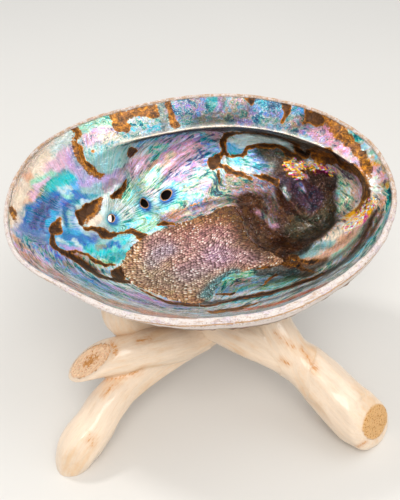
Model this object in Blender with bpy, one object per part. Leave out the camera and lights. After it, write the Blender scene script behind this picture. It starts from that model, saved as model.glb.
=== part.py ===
"""An abalone shell, hollow side up, resting on a stand of three interlaced sticks.

Sizes are in millimetres and become metres when a mesh is made. The shell is modelled square to its own opening,
with x towards the whorl, y towards the flat inner lip and z out of the opening, and is then tilted and placed.
"""
import math

import bmesh
import bpy
import numpy as np
from mathutils import Matrix, Vector

MM = 0.001
CLEARANCE = 0.3

# Shell: outline of the rim's inner edge, as its radius every 20 degrees about the middle of the opening
MIDDLE = (0.0, 3.0)
RIM_RADII = (
    73.7, 74.9, 69.8, 63.0, 58.3, 56.1, 57.4, 63.6, 70.6,
    73.0, 71.4, 61.7, 56.9, 53.9, 53.1, 55.9, 59.6, 67.1,
)

# Shell: chalky lip, thin at the back and thick at the front
LIP_THIN = 1.2
LIP_THICK = 3.2
LIP_THICK_AT = math.radians(-66)
LIP_SWELL = 2.5
LIP_SLOPE = 0.42

# Shell: bowl, as a depth and two powers of its section, where the wall is steep and where it is gentle
INNER_DEPTH = 37.0
INNER_STEEP = (2.2, 1.2)
INNER_GENTLE = (2.2, 1.0)
OUTER_DEPTH = 42.0
OUTER_STEEP = (2.9, 1.75)
OUTER_GENTLE = (2.05, 1.02)
GENTLE_AT = math.radians(215)

# Shell: flat inner lip along the back, its crest and the hollow under it
SHELF_SPAN = (math.radians(-2), math.radians(18), math.radians(130), math.radians(160))
SHELF_WIDTH = 12.5
SHELF_NARROW = 6.0
SHELF_DROP = 6.0
UNDERCUT = 3.0
WHORL_UNDERCUT = 4.0
WHORL_AT = math.radians(45)
WHORL_SPREAD = math.radians(26)

# Shell: whorl seen from outside, with its apex on the back right slope
APEX = (47.0, 27.0)
SPIRE_HEIGHT = 4.0
SPIRE_RADIUS = 17.0
GROWTH_STEP = 0.35

# Shell: breathing holes, open ones as a point inside the bowl and a radius, healed ones as a mark outside
OPEN_HOLES = ((-37.1, 15.4, -27.4, 1.5), (-24.9, 25.4, -30.9, 1.8), (-14.5, 30.8, -30.6, 1.9))
HOLE_LEAN = 0.6
HEALED_HOLES = ((-6.0, 38.0, 1.6), (4.5, 40.5, 1.4), (14.5, 41.5, 1.2), (24.0, 41.0, 1.0))
HOLE_COLLAR = 1.7
HOLE_EDGE = 0.6
HOLE_SIDES = 14
HEALED_REACH = (-1.5, 1.0)
COLLAR_REACH = (-1.5, 1.3)
DRILL_REACH = (-16.0, 6.0)

# Shell: muscle scar, a low cushion on the floor of the bowl
SCAR_AT = (0.0, 1.0)
SCAR_SIZE = (31.0, 22.0)
SCAR_HEIGHT = 0.7

# Shell: mesh
AROUND = 80
SHELF_RINGS = 5
BOWL_RINGS = 15
OUTER_RINGS = 15

# Shell: place on the stand
SHELL_TILT = math.radians(14)
SHELL_AT = (0.0, 0.0, 84.0)

# Whole object: moved so that its box stands over the origin
OFFSET = (-1.3, 1.68, 0.0)

# Stand: each stick as points along its middle with the half-width there, foot first
LEG_RIGHT = (
    (70.3, -47.0, 10.0, 10.6),
    (64.5, -45.0, 11.2, 11.2),
    (58.0, -41.5, 13.8, 10.9),
    (52.0, -37.0, 17.5, 10.0),
    (45.9, -33.0, 22.5, 8.7),
    (40.1, -29.7, 26.5, 8.2),
    (32.0, -26.0, 30.0, 8.0),
    (20.5, -20.5, 32.8, 8.2),
    (9.0, -13.5, 33.0, 8.0),
    (-1.0, -8.0, 33.0, 7.8),
    (-12.0, -9.0, 34.5, 7.6),
    (-22.0, -13.5, 37.0, 7.6),
    (-29.0, -18.5, 41.0, 7.5),
    (-31.3, -20.5, 48.0, 7.4),
    (-31.5, -20.8, 56.0, 7.2),
)
ARM_RIGHT = (
    (42.0, -32.0, 24.0, 7.0),
    (38.5, -29.0, 30.0, 7.0),
    (33.6, -25.4, 36.0, 7.0),
    (29.8, -20.5, 41.0, 6.8),
    (27.6, -16.0, 48.0, 6.8),
)
LEG_LEFT = (
    (-51.5, -58.5, -5.0, 6.8),
    (-50.8, -57.1, 0.0, 7.2),
    (-46.4, -54.0, 8.5, 8.3),
    (-41.2, -49.0, 13.5, 8.2),
    (-35.8, -41.7, 18.5, 7.7),
    (-29.5, -34.0, 21.0, 7.3),
    (-18.0, -24.0, 23.0, 7.3),
    (-9.0, -17.8, 24.3, 7.0),
    (-1.5, -13.0, 25.3, 6.6),
)
LEG_REAR = (
    (12.5, 55.0, -4.0, 8.2),
    (12.5, 46.0, 9.0, 8.0),
    (13.0, 33.0, 27.0, 7.4),
    (12.5, 20.0, 36.5, 7.4),
    (10.0, 6.0, 32.0, 7.2),
    (4.0, -7.5, 26.5, 7.3),
    (-5.0, -16.0, 27.5, 7.4),
    (-13.0, -22.5, 31.3, 7.7),
    (-23.8, -27.2, 33.0, 7.9),
    (-31.4, -30.2, 33.5, 7.7),
    (-42.8, -33.2, 33.0, 7.4),
)
# Stand: which way each sawn end faces and how far its edge is rounded
FOOT_RIGHT = ((0.73, -0.6, 0.3), 3.6)
TOP_REAR = ((-0.55, -0.25, 0.8), 1.6)
PLAIN_END = (None, 1.6)
STICK_SIDES = 14
STICK_STEP = 4.0
LEAN_REACH = 4.5
SEAT_DROP = 0.5
SEAT_LID = 10.0
FLOOR_BLOCK = 400.0


def smooth_step(value, low, high):
    """0 below low, 1 above high, and a smooth cubic between."""
    share = np.clip((value - low) / (high - low), 0.0, 1.0)
    return share * share * (3.0 - 2.0 * share)


def rim_radius(angle):
    """The rim's radius at an angle, on a closed Catmull-Rom curve through the listed radii."""
    radii = np.array(RIM_RADII)
    place = np.mod(angle, 2 * math.pi) / (2 * math.pi) * len(radii)
    number = np.floor(place).astype(int)
    t = place - number
    a, b, c, d = (radii[(number + shift) % len(radii)] for shift in (-1, 0, 1, 2))
    return 0.5 * (2 * b + (c - a) * t + (2 * a - 5 * b + 4 * c - d) * t**2 + (3 * b - a - 3 * c + d) * t**3)


def lip_width(angle):
    """Thin lip all round, swelling to its full width towards the front."""
    swell = 0.5 + 0.5 * np.cos(angle - LIP_THICK_AT)
    return LIP_THIN + (LIP_THICK - LIP_THIN) * swell**LIP_SWELL


def shelf_share(angle):
    """1 where the flat inner lip is full, 0 where there is none, smooth between."""
    turned = np.mod(angle + math.pi / 2, 2 * math.pi) - math.pi / 2
    start, full, fade, end = SHELF_SPAN
    return smooth_step(turned, start, full) * (1.0 - smooth_step(turned, fade, end))


def bowl_depth(share, angle, depth, steep, gentle):
    """Superellipse section, deepest at share 0 and level with the opening at share 1, gentler towards one side."""
    ease = (0.5 + 0.5 * np.cos(angle - GENTLE_AT)) ** 0.8
    first = steep[0] + (gentle[0] - steep[0]) * ease
    second = steep[1] + (gentle[1] - steep[1]) * ease
    inside = np.clip(1.0 - np.clip(share, 0.0, 1.0) ** first, 0.0, 1.0)
    return -depth * inside ** (1.0 / second)


def scar_mound(x, y):
    """Height of the muscle scar: a flat-topped oval cushion."""
    away = np.hypot((x - SCAR_AT[0]) / SCAR_SIZE[0], (y - SCAR_AT[1]) / SCAR_SIZE[1])
    return SCAR_HEIGHT * (1.0 - smooth_step(away, 0.85, 1.0))


def inner_surface(angle, rows_shelf, rows_bowl):
    """Points from the rim to the bottom of the bowl, one column for each angle.

    The first rows run from the rim to the crest of the flat inner lip. The others run from the crest, out under it
    and down the wall, to the deepest point. Where there is no flat lip, both stretches follow the plain bowl.
    """
    angle = angle[:, None]
    shelf = shelf_share(angle)
    radius = rim_radius(angle)
    turned = np.mod(angle + math.pi / 2, 2 * math.pi) - math.pi / 2
    width = SHELF_NARROW + (SHELF_WIDTH - SHELF_NARROW) * smooth_step(turned, math.radians(5), math.radians(45))
    crest = 1.0 - width / radius
    # from the rim to the crest
    run = np.linspace(0.0, 1.0, rows_shelf + 1)[None, :]
    share_a = 1.0 - run * (1.0 - crest)
    flat = -SHELF_DROP * run - 0.8 * np.sin(math.pi * run)
    plain = bowl_depth(share_a, angle, INNER_DEPTH, INNER_STEEP, INNER_GENTLE)
    depth_a = (1.0 - shelf) * plain + shelf * flat
    # from the crest to the bottom
    run = np.linspace(0.0, 1.0, rows_bowl + 1)[None, 1:]
    turn = run * math.pi / 2
    share_plain = crest * (1.0 - run)
    plain = bowl_depth(share_plain, angle, INNER_DEPTH, INNER_STEEP, INNER_GENTLE)
    whorl = np.exp(-(((turned - WHORL_AT) / WHORL_SPREAD) ** 2))
    push = (UNDERCUT + WHORL_UNDERCUT * whorl) / radius
    bulge = np.sin(math.pi * np.minimum(run / 0.6, 1.0)) ** 1.2
    share_under = crest * np.cos(turn) ** 0.8 + push * bulge
    under = -SHELF_DROP - (INNER_DEPTH - SHELF_DROP) * np.sin(turn) ** 0.9
    share_b = (1.0 - shelf) * share_plain + shelf * share_under
    depth_b = (1.0 - shelf) * plain + shelf * under
    share = np.concatenate([share_a, share_b], axis=1)
    depth = np.concatenate([depth_a, depth_b], axis=1)
    x = MIDDLE[0] + share * radius * np.cos(angle)
    y = MIDDLE[1] + share * radius * np.sin(angle)
    return np.stack([x, y, depth + scar_mound(x, y)], axis=-1)


def outer_height(x, y):
    """Depth of the outside of the shell under a point, with the low dome of the whorl."""
    across, along = x - MIDDLE[0], y - MIDDLE[1]
    angle = np.arctan2(along, across)
    lip = lip_width(angle)
    share = np.hypot(across, along) / (rim_radius(angle) + lip)
    away = np.hypot(x - APEX[0], y - APEX[1])
    dome = SPIRE_HEIGHT * np.exp(-((away / SPIRE_RADIUS) ** 2))
    inside = 1.0 - smooth_step(share, 0.86, 1.0)
    return bowl_depth(share, angle, OUTER_DEPTH, OUTER_STEEP, OUTER_GENTLE) - LIP_SLOPE * lip - dome * inside


def outer_surface(angle, rows):
    """Points from the edge of the lip to the apex: each row is a growth line, the rim drawn in towards the apex."""
    angle = angle[:, None]
    reach = rim_radius(angle) + lip_width(angle)
    edge_x = MIDDLE[0] + reach * np.cos(angle)
    edge_y = MIDDLE[1] + reach * np.sin(angle)
    run = np.linspace(0.0, 1.0, rows + 1)[None, :]
    share = 1.0 - run**0.85
    x = APEX[0] + share * (edge_x - APEX[0])
    y = APEX[1] + share * (edge_y - APEX[1])
    step = np.where(np.arange(rows + 1) % 2 == 0, 0.0, GROWTH_STEP)
    step[[0, -1]] = 0.0
    return np.stack([x, y, outer_height(x, y) - step[None, :]], axis=-1)


def placed(points):
    """Tilts the shell's own points towards the front and sets them on the stand."""
    tilt = np.array(Matrix.Rotation(SHELL_TILT, 3, "X"))
    return points @ tilt.T + np.array(SHELL_AT)


def new_object(name, points, faces):
    """A closed mesh object, its faces turned outwards."""
    mesh = bpy.data.meshes.new(name)
    mesh.from_pydata(((points + np.array(OFFSET)) * MM).tolist(), [], faces)
    work = bmesh.new()
    work.from_mesh(mesh)
    bmesh.ops.recalc_face_normals(work, faces=work.faces)
    work.to_mesh(mesh)
    work.free()
    mesh.shade_smooth()
    made = bpy.data.objects.new(name, mesh)
    bpy.context.scene.collection.objects.link(made)
    return made


def loft(rings, first_cap, last_cap):
    """Faces between closed rings of equal length; a cap is one point's number, or None for an open end."""
    count, around = rings
    faces = []
    for row in range(count - 1):
        for side in range(around):
            nextside = (side + 1) % around
            here, there = row * around, (row + 1) * around
            faces.append((here + side, here + nextside, there + nextside, there + side))
    for cap, row in ((first_cap, 0), (last_cap, count - 1)):
        if cap is None:
            continue
        for side in range(around):
            faces.append((row * around + side, row * around + (side + 1) % around, cap))
    return faces


def boolean(target, tool, operation):
    """Adds an exact Boolean of a hidden tool to the target."""
    tool.hide_render = True
    tool.display_type = "WIRE"
    change = target.modifiers.new(tool.name, "BOOLEAN")
    change.operation = operation
    change.object = tool
    change.solver = "EXACT"


def outward(x, y):
    """Unit normal of the outside of the shell over a point, from its slopes."""
    step = 0.5
    slope_x = (outer_height(x + step, y) - outer_height(x - step, y)) / (2 * step)
    slope_y = (outer_height(x, y + step) - outer_height(x, y - step)) / (2 * step)
    out = np.array([slope_x, slope_y, -1.0])
    return out / np.linalg.norm(out)


def hole_line(x, y, z):
    """Direction of an open hole, which leans towards the narrow end, and the point where it comes out."""
    along = outward(x, y) + np.array([-HOLE_LEAN, 0.0, 0.0])
    along /= np.linalg.norm(along)
    for reach in np.arange(0.0, 15.0, 0.1):
        exit_point = np.array([x, y, z]) + reach * along
        if exit_point[2] < outer_height(exit_point[0], exit_point[1]):
            break
    return along, exit_point


def cone(name, centre, along, wide, narrow, bottom, top):
    """A short closed cone round a line, from bottom to top along it."""
    side = np.cross(along, (0.0, 1.0, 0.0))
    side /= np.linalg.norm(side)
    other = np.cross(along, side)
    turn = np.linspace(0.0, 2 * math.pi, HOLE_SIDES, endpoint=False)[:, None]
    circle = np.cos(turn) * side + np.sin(turn) * other
    low = centre + bottom * along + wide * circle
    high = centre + top * along + narrow * circle
    points = np.concatenate([low, high, [centre + bottom * along, centre + top * along]])
    return new_object(name, placed(points), loft((2, HOLE_SIDES), 2 * HOLE_SIDES, 2 * HOLE_SIDES + 1))


def shell():
    """The grown shell: inside and outside joined over the lip, with collars round the holes and the open ones pierced."""
    angle = np.linspace(0.0, 2 * math.pi, AROUND, endpoint=False)
    inner = inner_surface(angle, SHELF_RINGS, BOWL_RINGS)
    outer = outer_surface(angle, OUTER_RINGS)
    bottom = inner[0, -1]
    apex = outer[0, -1]
    rings = np.concatenate([inner[:, -2::-1], outer[:, :-1]], axis=1)
    count = rings.shape[1]
    points = rings.transpose(1, 0, 2).reshape(-1, 3)
    points = np.concatenate([points, [bottom, apex]])
    faces = loft((count, AROUND), count * AROUND, count * AROUND + 1)
    made = new_object("abalone_shell", placed(points), faces)
    for number, (x, y, radius) in enumerate(HEALED_HOLES):
        foot = np.array([x, y, outer_height(x, y)])
        collar = cone(f"healed_{number}", foot, outward(x, y), radius + HOLE_COLLAR, radius, *HEALED_REACH)
        boolean(made, collar, "UNION")
    for number, (x, y, z, radius) in enumerate(OPEN_HOLES):
        along, foot = hole_line(x, y, z)
        square = outward(foot[0], foot[1])
        collar = cone(f"collar_{number}", foot, square, radius + HOLE_COLLAR, radius + HOLE_EDGE, *COLLAR_REACH)
        boolean(made, collar, "UNION")
    for number, (x, y, z, radius) in enumerate(OPEN_HOLES):
        along, foot = hole_line(x, y, z)
        drill = cone(f"drill_{number}", foot, along, radius, radius, *DRILL_REACH)
        boolean(made, drill, "DIFFERENCE")
    return made


def smooth_path(stations, step):
    """A Catmull-Rom curve through the stations, read at even distances."""
    knots = np.array(stations)
    padded = np.concatenate([[2 * knots[0] - knots[1]], knots, [2 * knots[-1] - knots[-2]]])
    pieces = []
    for start in range(len(knots) - 1):
        a, b, c, d = padded[start : start + 4]
        t = np.linspace(0.0, 1.0, 24, endpoint=False)[:, None]
        pieces.append(0.5 * (2 * b + (c - a) * t + (2 * a - 5 * b + 4 * c - d) * t**2 + (3 * b - a - 3 * c + d) * t**3))
    fine = np.concatenate(pieces + [knots[-1:]])
    run = np.concatenate([[0.0], np.cumsum(np.linalg.norm(np.diff(fine[:, :3], axis=0), axis=1))])
    count = max(4, round(run[-1] / step) + 1)
    even = np.linspace(0.0, run[-1], count)
    return np.stack([np.interp(even, run, fine[:, column]) for column in range(4)], axis=1)


def stick(name, stations, widen, foot, top):
    """A round stick along a curved line, its ends sawn to the given facing, with a small quarter round at the edge."""
    path = smooth_path(stations, STICK_STEP)
    middle, radius = path[:, :3], path[:, 3] + widen
    along = np.gradient(middle, axis=0)
    along /= np.linalg.norm(along, axis=1, keepdims=True)
    side = [np.cross(along[0], (0.0, 0.0, 1.0))]
    for direction in along:
        carried = side[-1] - (side[-1] @ direction) * direction
        side.append(carried / np.linalg.norm(carried))
    side = np.array(side[1:])
    up = np.cross(side, along)
    turn = np.linspace(0.0, 2 * math.pi, STICK_SIDES, endpoint=False)[None, :, None]
    circle = np.cos(turn) * side[:, None] + np.sin(turn) * up[:, None]
    rings = middle[:, None] + radius[:, None, None] * circle
    ends = []
    for end, (face, edge_round), outward in ((0, foot, -1.0), (-1, top, 1.0)):
        away = np.linalg.norm(middle - middle[end], axis=1)
        facing = along[end] if face is None else np.array(face) / np.linalg.norm(face)
        lean = -(circle[end] @ facing) / (along[end] @ facing) * radius[end]
        reach = LEAN_REACH * np.abs(lean).max() + 1.0
        share = (np.clip(1.0 - away / reach, 0.0, 1.0) ** 1.3)[:, None, None]
        rings = rings + share * lean[None, :, None] * along[:, None]
        edge = rings[end].copy()
        rounded = []
        for part in (0.0, 0.3, 0.6, 1.0):
            bend = part * math.pi / 2
            pull = edge_round * (1.0 - math.sin(bend)) * outward * along[end]
            shrink = 1.0 - edge_round * (1.0 - math.cos(bend)) / radius[end]
            rounded.append(middle[end] + (edge - middle[end]) * shrink - pull)
        ends.append(rounded)
    rings = np.concatenate([np.array(ends[0][::-1]), rings[2:-2], np.array(ends[1])])
    count = len(rings)
    points = np.concatenate([rings.reshape(-1, 3), [middle[0], middle[-1]]])
    return new_object(name, points, loft((count, STICK_SIDES), count * STICK_SIDES, count * STICK_SIDES + 1))


def floor_block():
    """A block whose top is the surface that the feet stand on."""
    mesh = bpy.data.meshes.new("floor_block")
    work = bmesh.new()
    bmesh.ops.create_cube(work, size=FLOOR_BLOCK * MM)
    bmesh.ops.translate(work, verts=work.verts, vec=Vector((0.0, 0.0, -FLOOR_BLOCK * MM / 2)))
    work.to_mesh(mesh)
    work.free()
    made = bpy.data.objects.new("floor_block", mesh)
    bpy.context.scene.collection.objects.link(made)
    return made


def seat():
    """A block shaped like the outside of the shell, a little larger, that hollows the sticks to carry it."""
    angle = np.linspace(0.0, 2 * math.pi, AROUND, endpoint=False)
    outer = outer_surface(angle, OUTER_RINGS)
    outer[..., 2] -= SEAT_DROP
    rings = outer[:, :-1].transpose(1, 0, 2)
    count = len(rings)
    lid = np.array([*MIDDLE, SEAT_LID])
    points = np.concatenate([rings.reshape(-1, 3), [lid, outer[0, -1]]])
    return new_object("seat", placed(points), loft((count, AROUND), count * AROUND, count * AROUND + 1))


def stand():
    """The right stick with its short arm lies over the rear one, and the left one is notched for both."""
    floor = floor_block()
    hollow = seat()
    right = stick("leg_right", LEG_RIGHT, 0.0, FOOT_RIGHT, PLAIN_END)
    arm = stick("arm_right", ARM_RIGHT, 0.0, PLAIN_END, PLAIN_END)
    boolean(right, arm, "UNION")
    left = stick("leg_left", LEG_LEFT, 0.0, PLAIN_END, PLAIN_END)
    rear = stick("leg_rear", LEG_REAR, 0.0, PLAIN_END, TOP_REAR)
    notch_right = stick("notch_for_right", LEG_RIGHT, CLEARANCE, FOOT_RIGHT, PLAIN_END)
    notch_rear = stick("notch_for_rear", LEG_REAR, CLEARANCE, PLAIN_END, TOP_REAR)
    for leg in (right, left, rear):
        boolean(leg, floor, "DIFFERENCE")
        boolean(leg, hollow, "DIFFERENCE")
    boolean(rear, notch_right, "DIFFERENCE")
    boolean(left, notch_right, "DIFFERENCE")
    boolean(left, notch_rear, "DIFFERENCE")
    return [right, left, rear]


def material(name, colour, roughness, coat):
    """A Principled material in one colour."""
    made = bpy.data.materials.new(name)
    made.use_nodes = True
    shader = made.node_tree.nodes["Principled BSDF"]
    shader.inputs["Base Color"].default_value = (*colour, 1.0)
    shader.inputs["Roughness"].default_value = roughness
    shader.inputs["Metallic"].default_value = 0.0
    shader.inputs["Coat Weight"].default_value = coat
    return made


def main():
    """Clears the scene and builds the shell and its stand."""
    for old in list(bpy.data.objects):
        bpy.data.objects.remove(old, do_unlink=True)
    nacre = material("nacre", (0.45, 0.52, 0.56), 0.25, 0.4)
    wood = material("pale_wood", (0.78, 0.66, 0.48), 0.35, 0.5)
    shell().data.materials.append(nacre)
    for leg in stand():
        leg.data.materials.append(wood)


main()
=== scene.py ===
"""Looks of an abalone shell, hollow side up, on its stand of two forked branches.

The shell is worked out square to its own opening in millimetres, with x towards the whorl, y towards the flat inner
lip and z out of the opening, then tilted and placed. Markings are drawn through points of the picture, in pixels of
its 400 by 500 frame, which the scene's own camera carries on to the inside of the bowl.
"""
import math

import bpy
import numpy as np
from bpy.props import FloatProperty, FloatVectorProperty, PointerProperty
from mathutils import Matrix, Vector
from mathutils.bvhtree import BVHTree


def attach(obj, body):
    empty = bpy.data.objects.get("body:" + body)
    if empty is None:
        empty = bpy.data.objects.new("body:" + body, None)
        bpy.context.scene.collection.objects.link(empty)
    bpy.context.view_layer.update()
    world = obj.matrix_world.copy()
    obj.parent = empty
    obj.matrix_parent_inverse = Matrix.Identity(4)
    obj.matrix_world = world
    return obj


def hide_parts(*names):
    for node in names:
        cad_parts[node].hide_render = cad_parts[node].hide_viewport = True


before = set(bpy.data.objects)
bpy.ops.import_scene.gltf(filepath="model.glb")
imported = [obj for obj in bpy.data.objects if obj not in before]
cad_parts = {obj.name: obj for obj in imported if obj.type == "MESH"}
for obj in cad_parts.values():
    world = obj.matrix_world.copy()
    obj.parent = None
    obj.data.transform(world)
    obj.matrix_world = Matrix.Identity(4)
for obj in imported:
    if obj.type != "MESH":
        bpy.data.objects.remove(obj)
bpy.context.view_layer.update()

bl_info = {
    "name": "Abalone shell on its stand",
    "version": (1, 0, 0),
    "blender": (4, 5, 0),
    "location": "3D View > Sidebar > Abalone",
    "description": "Adds the shell, its muscle scar, its wooden stand and a plain studio",
    "category": "Add Mesh",
}

MM = 0.001
TURN = 2.0 * math.pi

# Picture and camera
PICTURE = (400.0, 500.0)
CAMERA_AT = (-0.0013, -0.235222, 0.260423)
CAMERA_PITCH = math.radians(50)
CAMERA_LENS = 55.774
CAMERA_SENSOR = 36.0

# Floor's half-side, sky colour, and the lights with their place, side and colour, aimed at the shell
FLOOR_REACH = 3.0
SKY = (0.95, 0.97, 1.0, 1.0)
LIGHTS = {
    "key": ((0.04, -0.52, 0.74), 0.50, (1.0, 0.97, 0.93)),
    "top": ((0.42, 0.06, 0.80), 0.70, (1.0, 0.99, 0.97)),
    "spark": ((-0.30, 0.22, 0.72), 0.10, (1.0, 0.99, 0.97)),
}
AIM = (0.0, 0.0, 0.06)

# Shell: outline of the rim's inner edge, as its radius every 20 degrees about the middle of the opening
MIDDLE = (0.0, 3.0)
RIM_RADII = (
    73.7, 74.9, 69.8, 63.0, 58.3, 56.1, 57.4, 63.6, 70.6,
    73.0, 71.4, 61.7, 56.9, 53.9, 53.1, 55.9, 59.6, 67.1,
)
LIP_THIN = 1.2
LIP_THICK = 3.2
LIP_THICK_AT = math.radians(-66)
LIP_SWELL = 2.5
LIP_SLOPE = 0.42
LIP_BULGE = (0.18, 0.24)
WEAR_REACH = 2.2
INNER_DEPTH = 37.0
INNER_STEEP = (2.2, 1.2)
INNER_GENTLE = (2.2, 1.0)
OUTER_DEPTH = 42.0
OUTER_STEEP = (2.9, 1.75)
OUTER_GENTLE = (2.05, 1.02)
GENTLE_AT = math.radians(215)
GENTLE_SPREAD = 0.8
SHELF_SPAN = (math.radians(-2), math.radians(18), math.radians(130), math.radians(160))
SHELF_WIDTH = 12.5
SHELF_NARROW = 6.0
SHELF_DROP = 6.0
SHELF_WIDENS = (math.radians(5), math.radians(45))
SHELF_SAG = 0.8
UNDERCUT_FADE = (math.radians(126), math.radians(143))
PAD_REACH = 0.5
UNDERCUT = 3.0
BULGE_END = 0.6
BULGE_ROUND = 1.2
WALL_ROUND = 0.8
FLOOR_ROUND = 0.9
WHORL_UNDERCUT = 4.0
WHORL_AT = math.radians(45)
WHORL_SPREAD = math.radians(26)
APEX = (47.0, 27.0)
SPIRE_HEIGHT = 4.0
SPIRE_RADIUS = 17.0
SPIRE_EDGE = 0.86
# Open holes: place, lean towards the narrow end, half-width and half-height; healed ones: place and radius
OPEN_HOLES = (
    (-37.1, 15.4, -27.4, 0.35, 1.4, 1.65),
    (-26.4, 25.6, -30.9, 0.85, 2.0, 2.2),
    (-14.5, 30.8, -30.6, 0.95, 1.48, 2.45),
)
HEALED_HOLES = ((-6.0, 38.0, 1.6), (4.5, 40.5, 1.4), (14.5, 41.5, 1.2), (24.0, 41.0, 1.0))
SHELL_TILT = math.radians(14)
SHELL_AT = (0.0, 0.0, 84.0)
OFFSET = (-1.3, 1.68, 0.0)

# Waves of the shell's surfaces: height and length in millimetres, and seed
WALL_WAVES = ((0.16, 19.0, 3), (0.05, 6.0, 4))
RIM_WAVES = ((0.224, 26.0, 11), (0.112, 8.0, 12), (0.04, 3.0, 14))
CRUST_WAVES = ((0.35, 16.0, 23), (0.16, 5.0, 24))
SCAR_EDGE_WAVES = ((0.35, 4.0, 41), (0.2, 1.6, 42))
SCAR_WAVES = ((0.18, 9.0, 43),)
PEBBLE_ALONG = ((0.8, 16.0, 31), (0.2, 4.0, 32))
PEBBLE_ACROSS = ((1.3, 18.0, 33), (0.2, 4.5, 34))
WOOD_WAVES = ((0.30, 9.0, 51), (0.10, 3.5, 52))
MARK_WANDER = ((0.4, 6.0, 61), (0.22, 2.2, 63))
TINT_WANDER = ((0.75, 7.0, 65), (0.4125, 2.4, 67))
# Chips of the rim: length and seed of their waves, how much of each wave stays whole, and their depth
CHIP_WAVE = (5.0, 13)
CHIP_SPARE = 0.75
CHIP_DEPTH = 0.35

# Outside: growth lines from the rim to the apex, cords about the apex, and the groove of the coil
GROWTH_LINES = 46.0
CORDS = 34.0
CORD_TWIST = 9.0
COIL_TURNS = 1.35
COIL_START = 2.4
COIL_RADIUS = (1.5, 15.0, 1.4)

# Shell: mesh
AROUND = 440
SHELF_ROWS = 32
BOWL_ROWS = 118
LIP_ROWS = 9
OUTER_ROWS = 58
HOLE_SIDES = 28
HOLE_BAR = (-16.0, 6.0)
# UV maps that carry the grid's numbers through the piercing
CARRIED = ("plan", "way", "high")
SCAR_STEP = 0.2194
SCAR_REACH = 1.2
SCAR_FLOOR = 1.1
DEPTH_REACH = 60.0
DEPTH_STEP = 0.25
PEBBLE_TURN = math.radians(35)
PEBBLE_LONG = 1.3

# Stand: each stick as points along its middle with the half-width there, foot first
LEG_RIGHT = (
    (70.3, -47.0, 10.0, 10.6), (64.6, -45.0, 11.5, 10.9), (58.6, -41.2, 14.8, 10.5), (52.7, -36.8, 18.6, 10.0),
    (46.7, -33.0, 23.4, 9.6), (40.9, -29.7, 27.4, 9.0), (32.0, -26.0, 30.0, 8.0), (20.5, -20.5, 32.8, 8.2),
    (9.0, -13.5, 33.0, 8.0), (-1.0, -8.0, 33.0, 7.8), (-12.0, -9.0, 34.5, 7.6), (-22.0, -13.5, 37.0, 7.6),
    (-29.0, -18.5, 41.0, 7.5), (-31.3, -20.5, 48.0, 7.4), (-31.5, -20.8, 56.0, 7.2),
)
ARM_RIGHT = (
    (42.0, -32.0, 24.0, 7.0), (38.5, -29.0, 30.0, 7.0), (33.6, -25.4, 36.0, 7.0),
    (29.8, -20.5, 41.0, 6.8), (27.6, -16.0, 48.0, 6.8),
)
WEB_RIGHT = (
    (41.0, -31.0, 25.0, 6.5), (34.0, -26.5, 31.5, 7.8), (27.0, -21.5, 35.0, 7.4), (20.0, -17.5, 36.0, 6.5),
)
LEG_LEFT = (
    (-50.9, -58.5, -5.0, 5.6), (-50.4, -57.1, 0.0, 6.8), (-46.6, -54.0, 8.5, 8.5), (-41.2, -49.0, 13.5, 8.2),
    (-35.8, -41.7, 18.5, 7.7), (-29.5, -34.0, 21.0, 7.3), (-18.0, -24.0, 23.0, 7.3), (-9.0, -17.8, 24.3, 7.0),
    (-1.5, -13.0, 25.3, 6.6),
)
LEG_REAR = (
    (12.5, 55.0, -4.0, 8.2), (12.5, 46.0, 9.0, 8.0), (13.0, 33.0, 27.0, 7.4), (12.5, 20.0, 36.5, 7.4),
    (10.0, 6.0, 32.0, 7.2), (4.0, -7.5, 26.5, 7.3), (-5.0, -16.0, 27.5, 7.4), (-13.0, -22.5, 31.3, 7.7),
    (-23.8, -27.2, 33.0, 7.9), (-31.4, -30.2, 33.5, 7.7), (-42.8, -33.2, 33.0, 7.4),
)
# Ends of the sticks: the way the cut faces, or None where it is square, and the rounding of its edge
FOOT_RIGHT = ((0.73, -0.6, 0.3), 4.6)
TOP_REAR = ((-0.55, -0.25, 0.8), 1.6)
PLAIN_END = (None, 1.6)
# Sawn ends: which end of the stick, the way it faces, how far its cut is set up as a share of the half-width,
# its tone and how stained its heart is
CUT_RIGHT = (0, FOOT_RIGHT[0], 0.34, "cut", 0.0)
CUT_REAR = (-1, TOP_REAR[0], 0.0, "stub", 1.0)
# Forks: where two sticks grow together, and how far round it they are smoothed
FORKS_RIGHT = (((32.0, -25.0, 34.0), 9.0), ((42.0, -31.0, 27.0), 8.0))
FORKS_LEFT = (((-9.0, -19.0, 26.0), 8.0), ((-17.0, -24.0, 26.0), 5.0))
STICK_SIDES = 48
STICK_STEP = 1.0
LEAN_REACH = 4.5
SEAT_DROP = 0.5
VOXEL = 0.00048
# Smoothing of the joined skin: share of each step and rounds, the rounds at the forks, and how near the sawn end
# its cut is looked for
SKIN_EASE = (0.5, 8)
FORK_ROUNDS = 90
CUT_REACH = 17.0


def smooth_step(value, low, high):
    """0 below low, 1 above high, and a smooth cubic between."""
    share = np.clip((value - low) / (high - low), 0.0, 1.0)
    return share * share * (3.0 - 2.0 * share)


def unit(vectors):
    """The vectors at length one."""
    return vectors / np.linalg.norm(vectors, axis=-1, keepdims=True)


def about_middle(x, y):
    """Distance and angle of points of the plan about the middle of the opening."""
    across, along = x - MIDDLE[0], y - MIDDLE[1]
    return np.hypot(across, along), np.arctan2(along, across)


def ripple(points, length, seed, parts=14):
    """Smooth noise of about -1 to 1: waves of about one length in seeded directions, added up."""
    random = np.random.default_rng(seed)
    direction = unit(random.normal(size=(parts, points.shape[-1])))
    steep = TURN / (length * random.uniform(0.7, 1.5, parts))
    phase = random.uniform(0.0, TURN, parts)
    return np.sin(points @ (direction * steep[:, None]).T + phase).sum(-1) * (0.9 / math.sqrt(parts))


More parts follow.
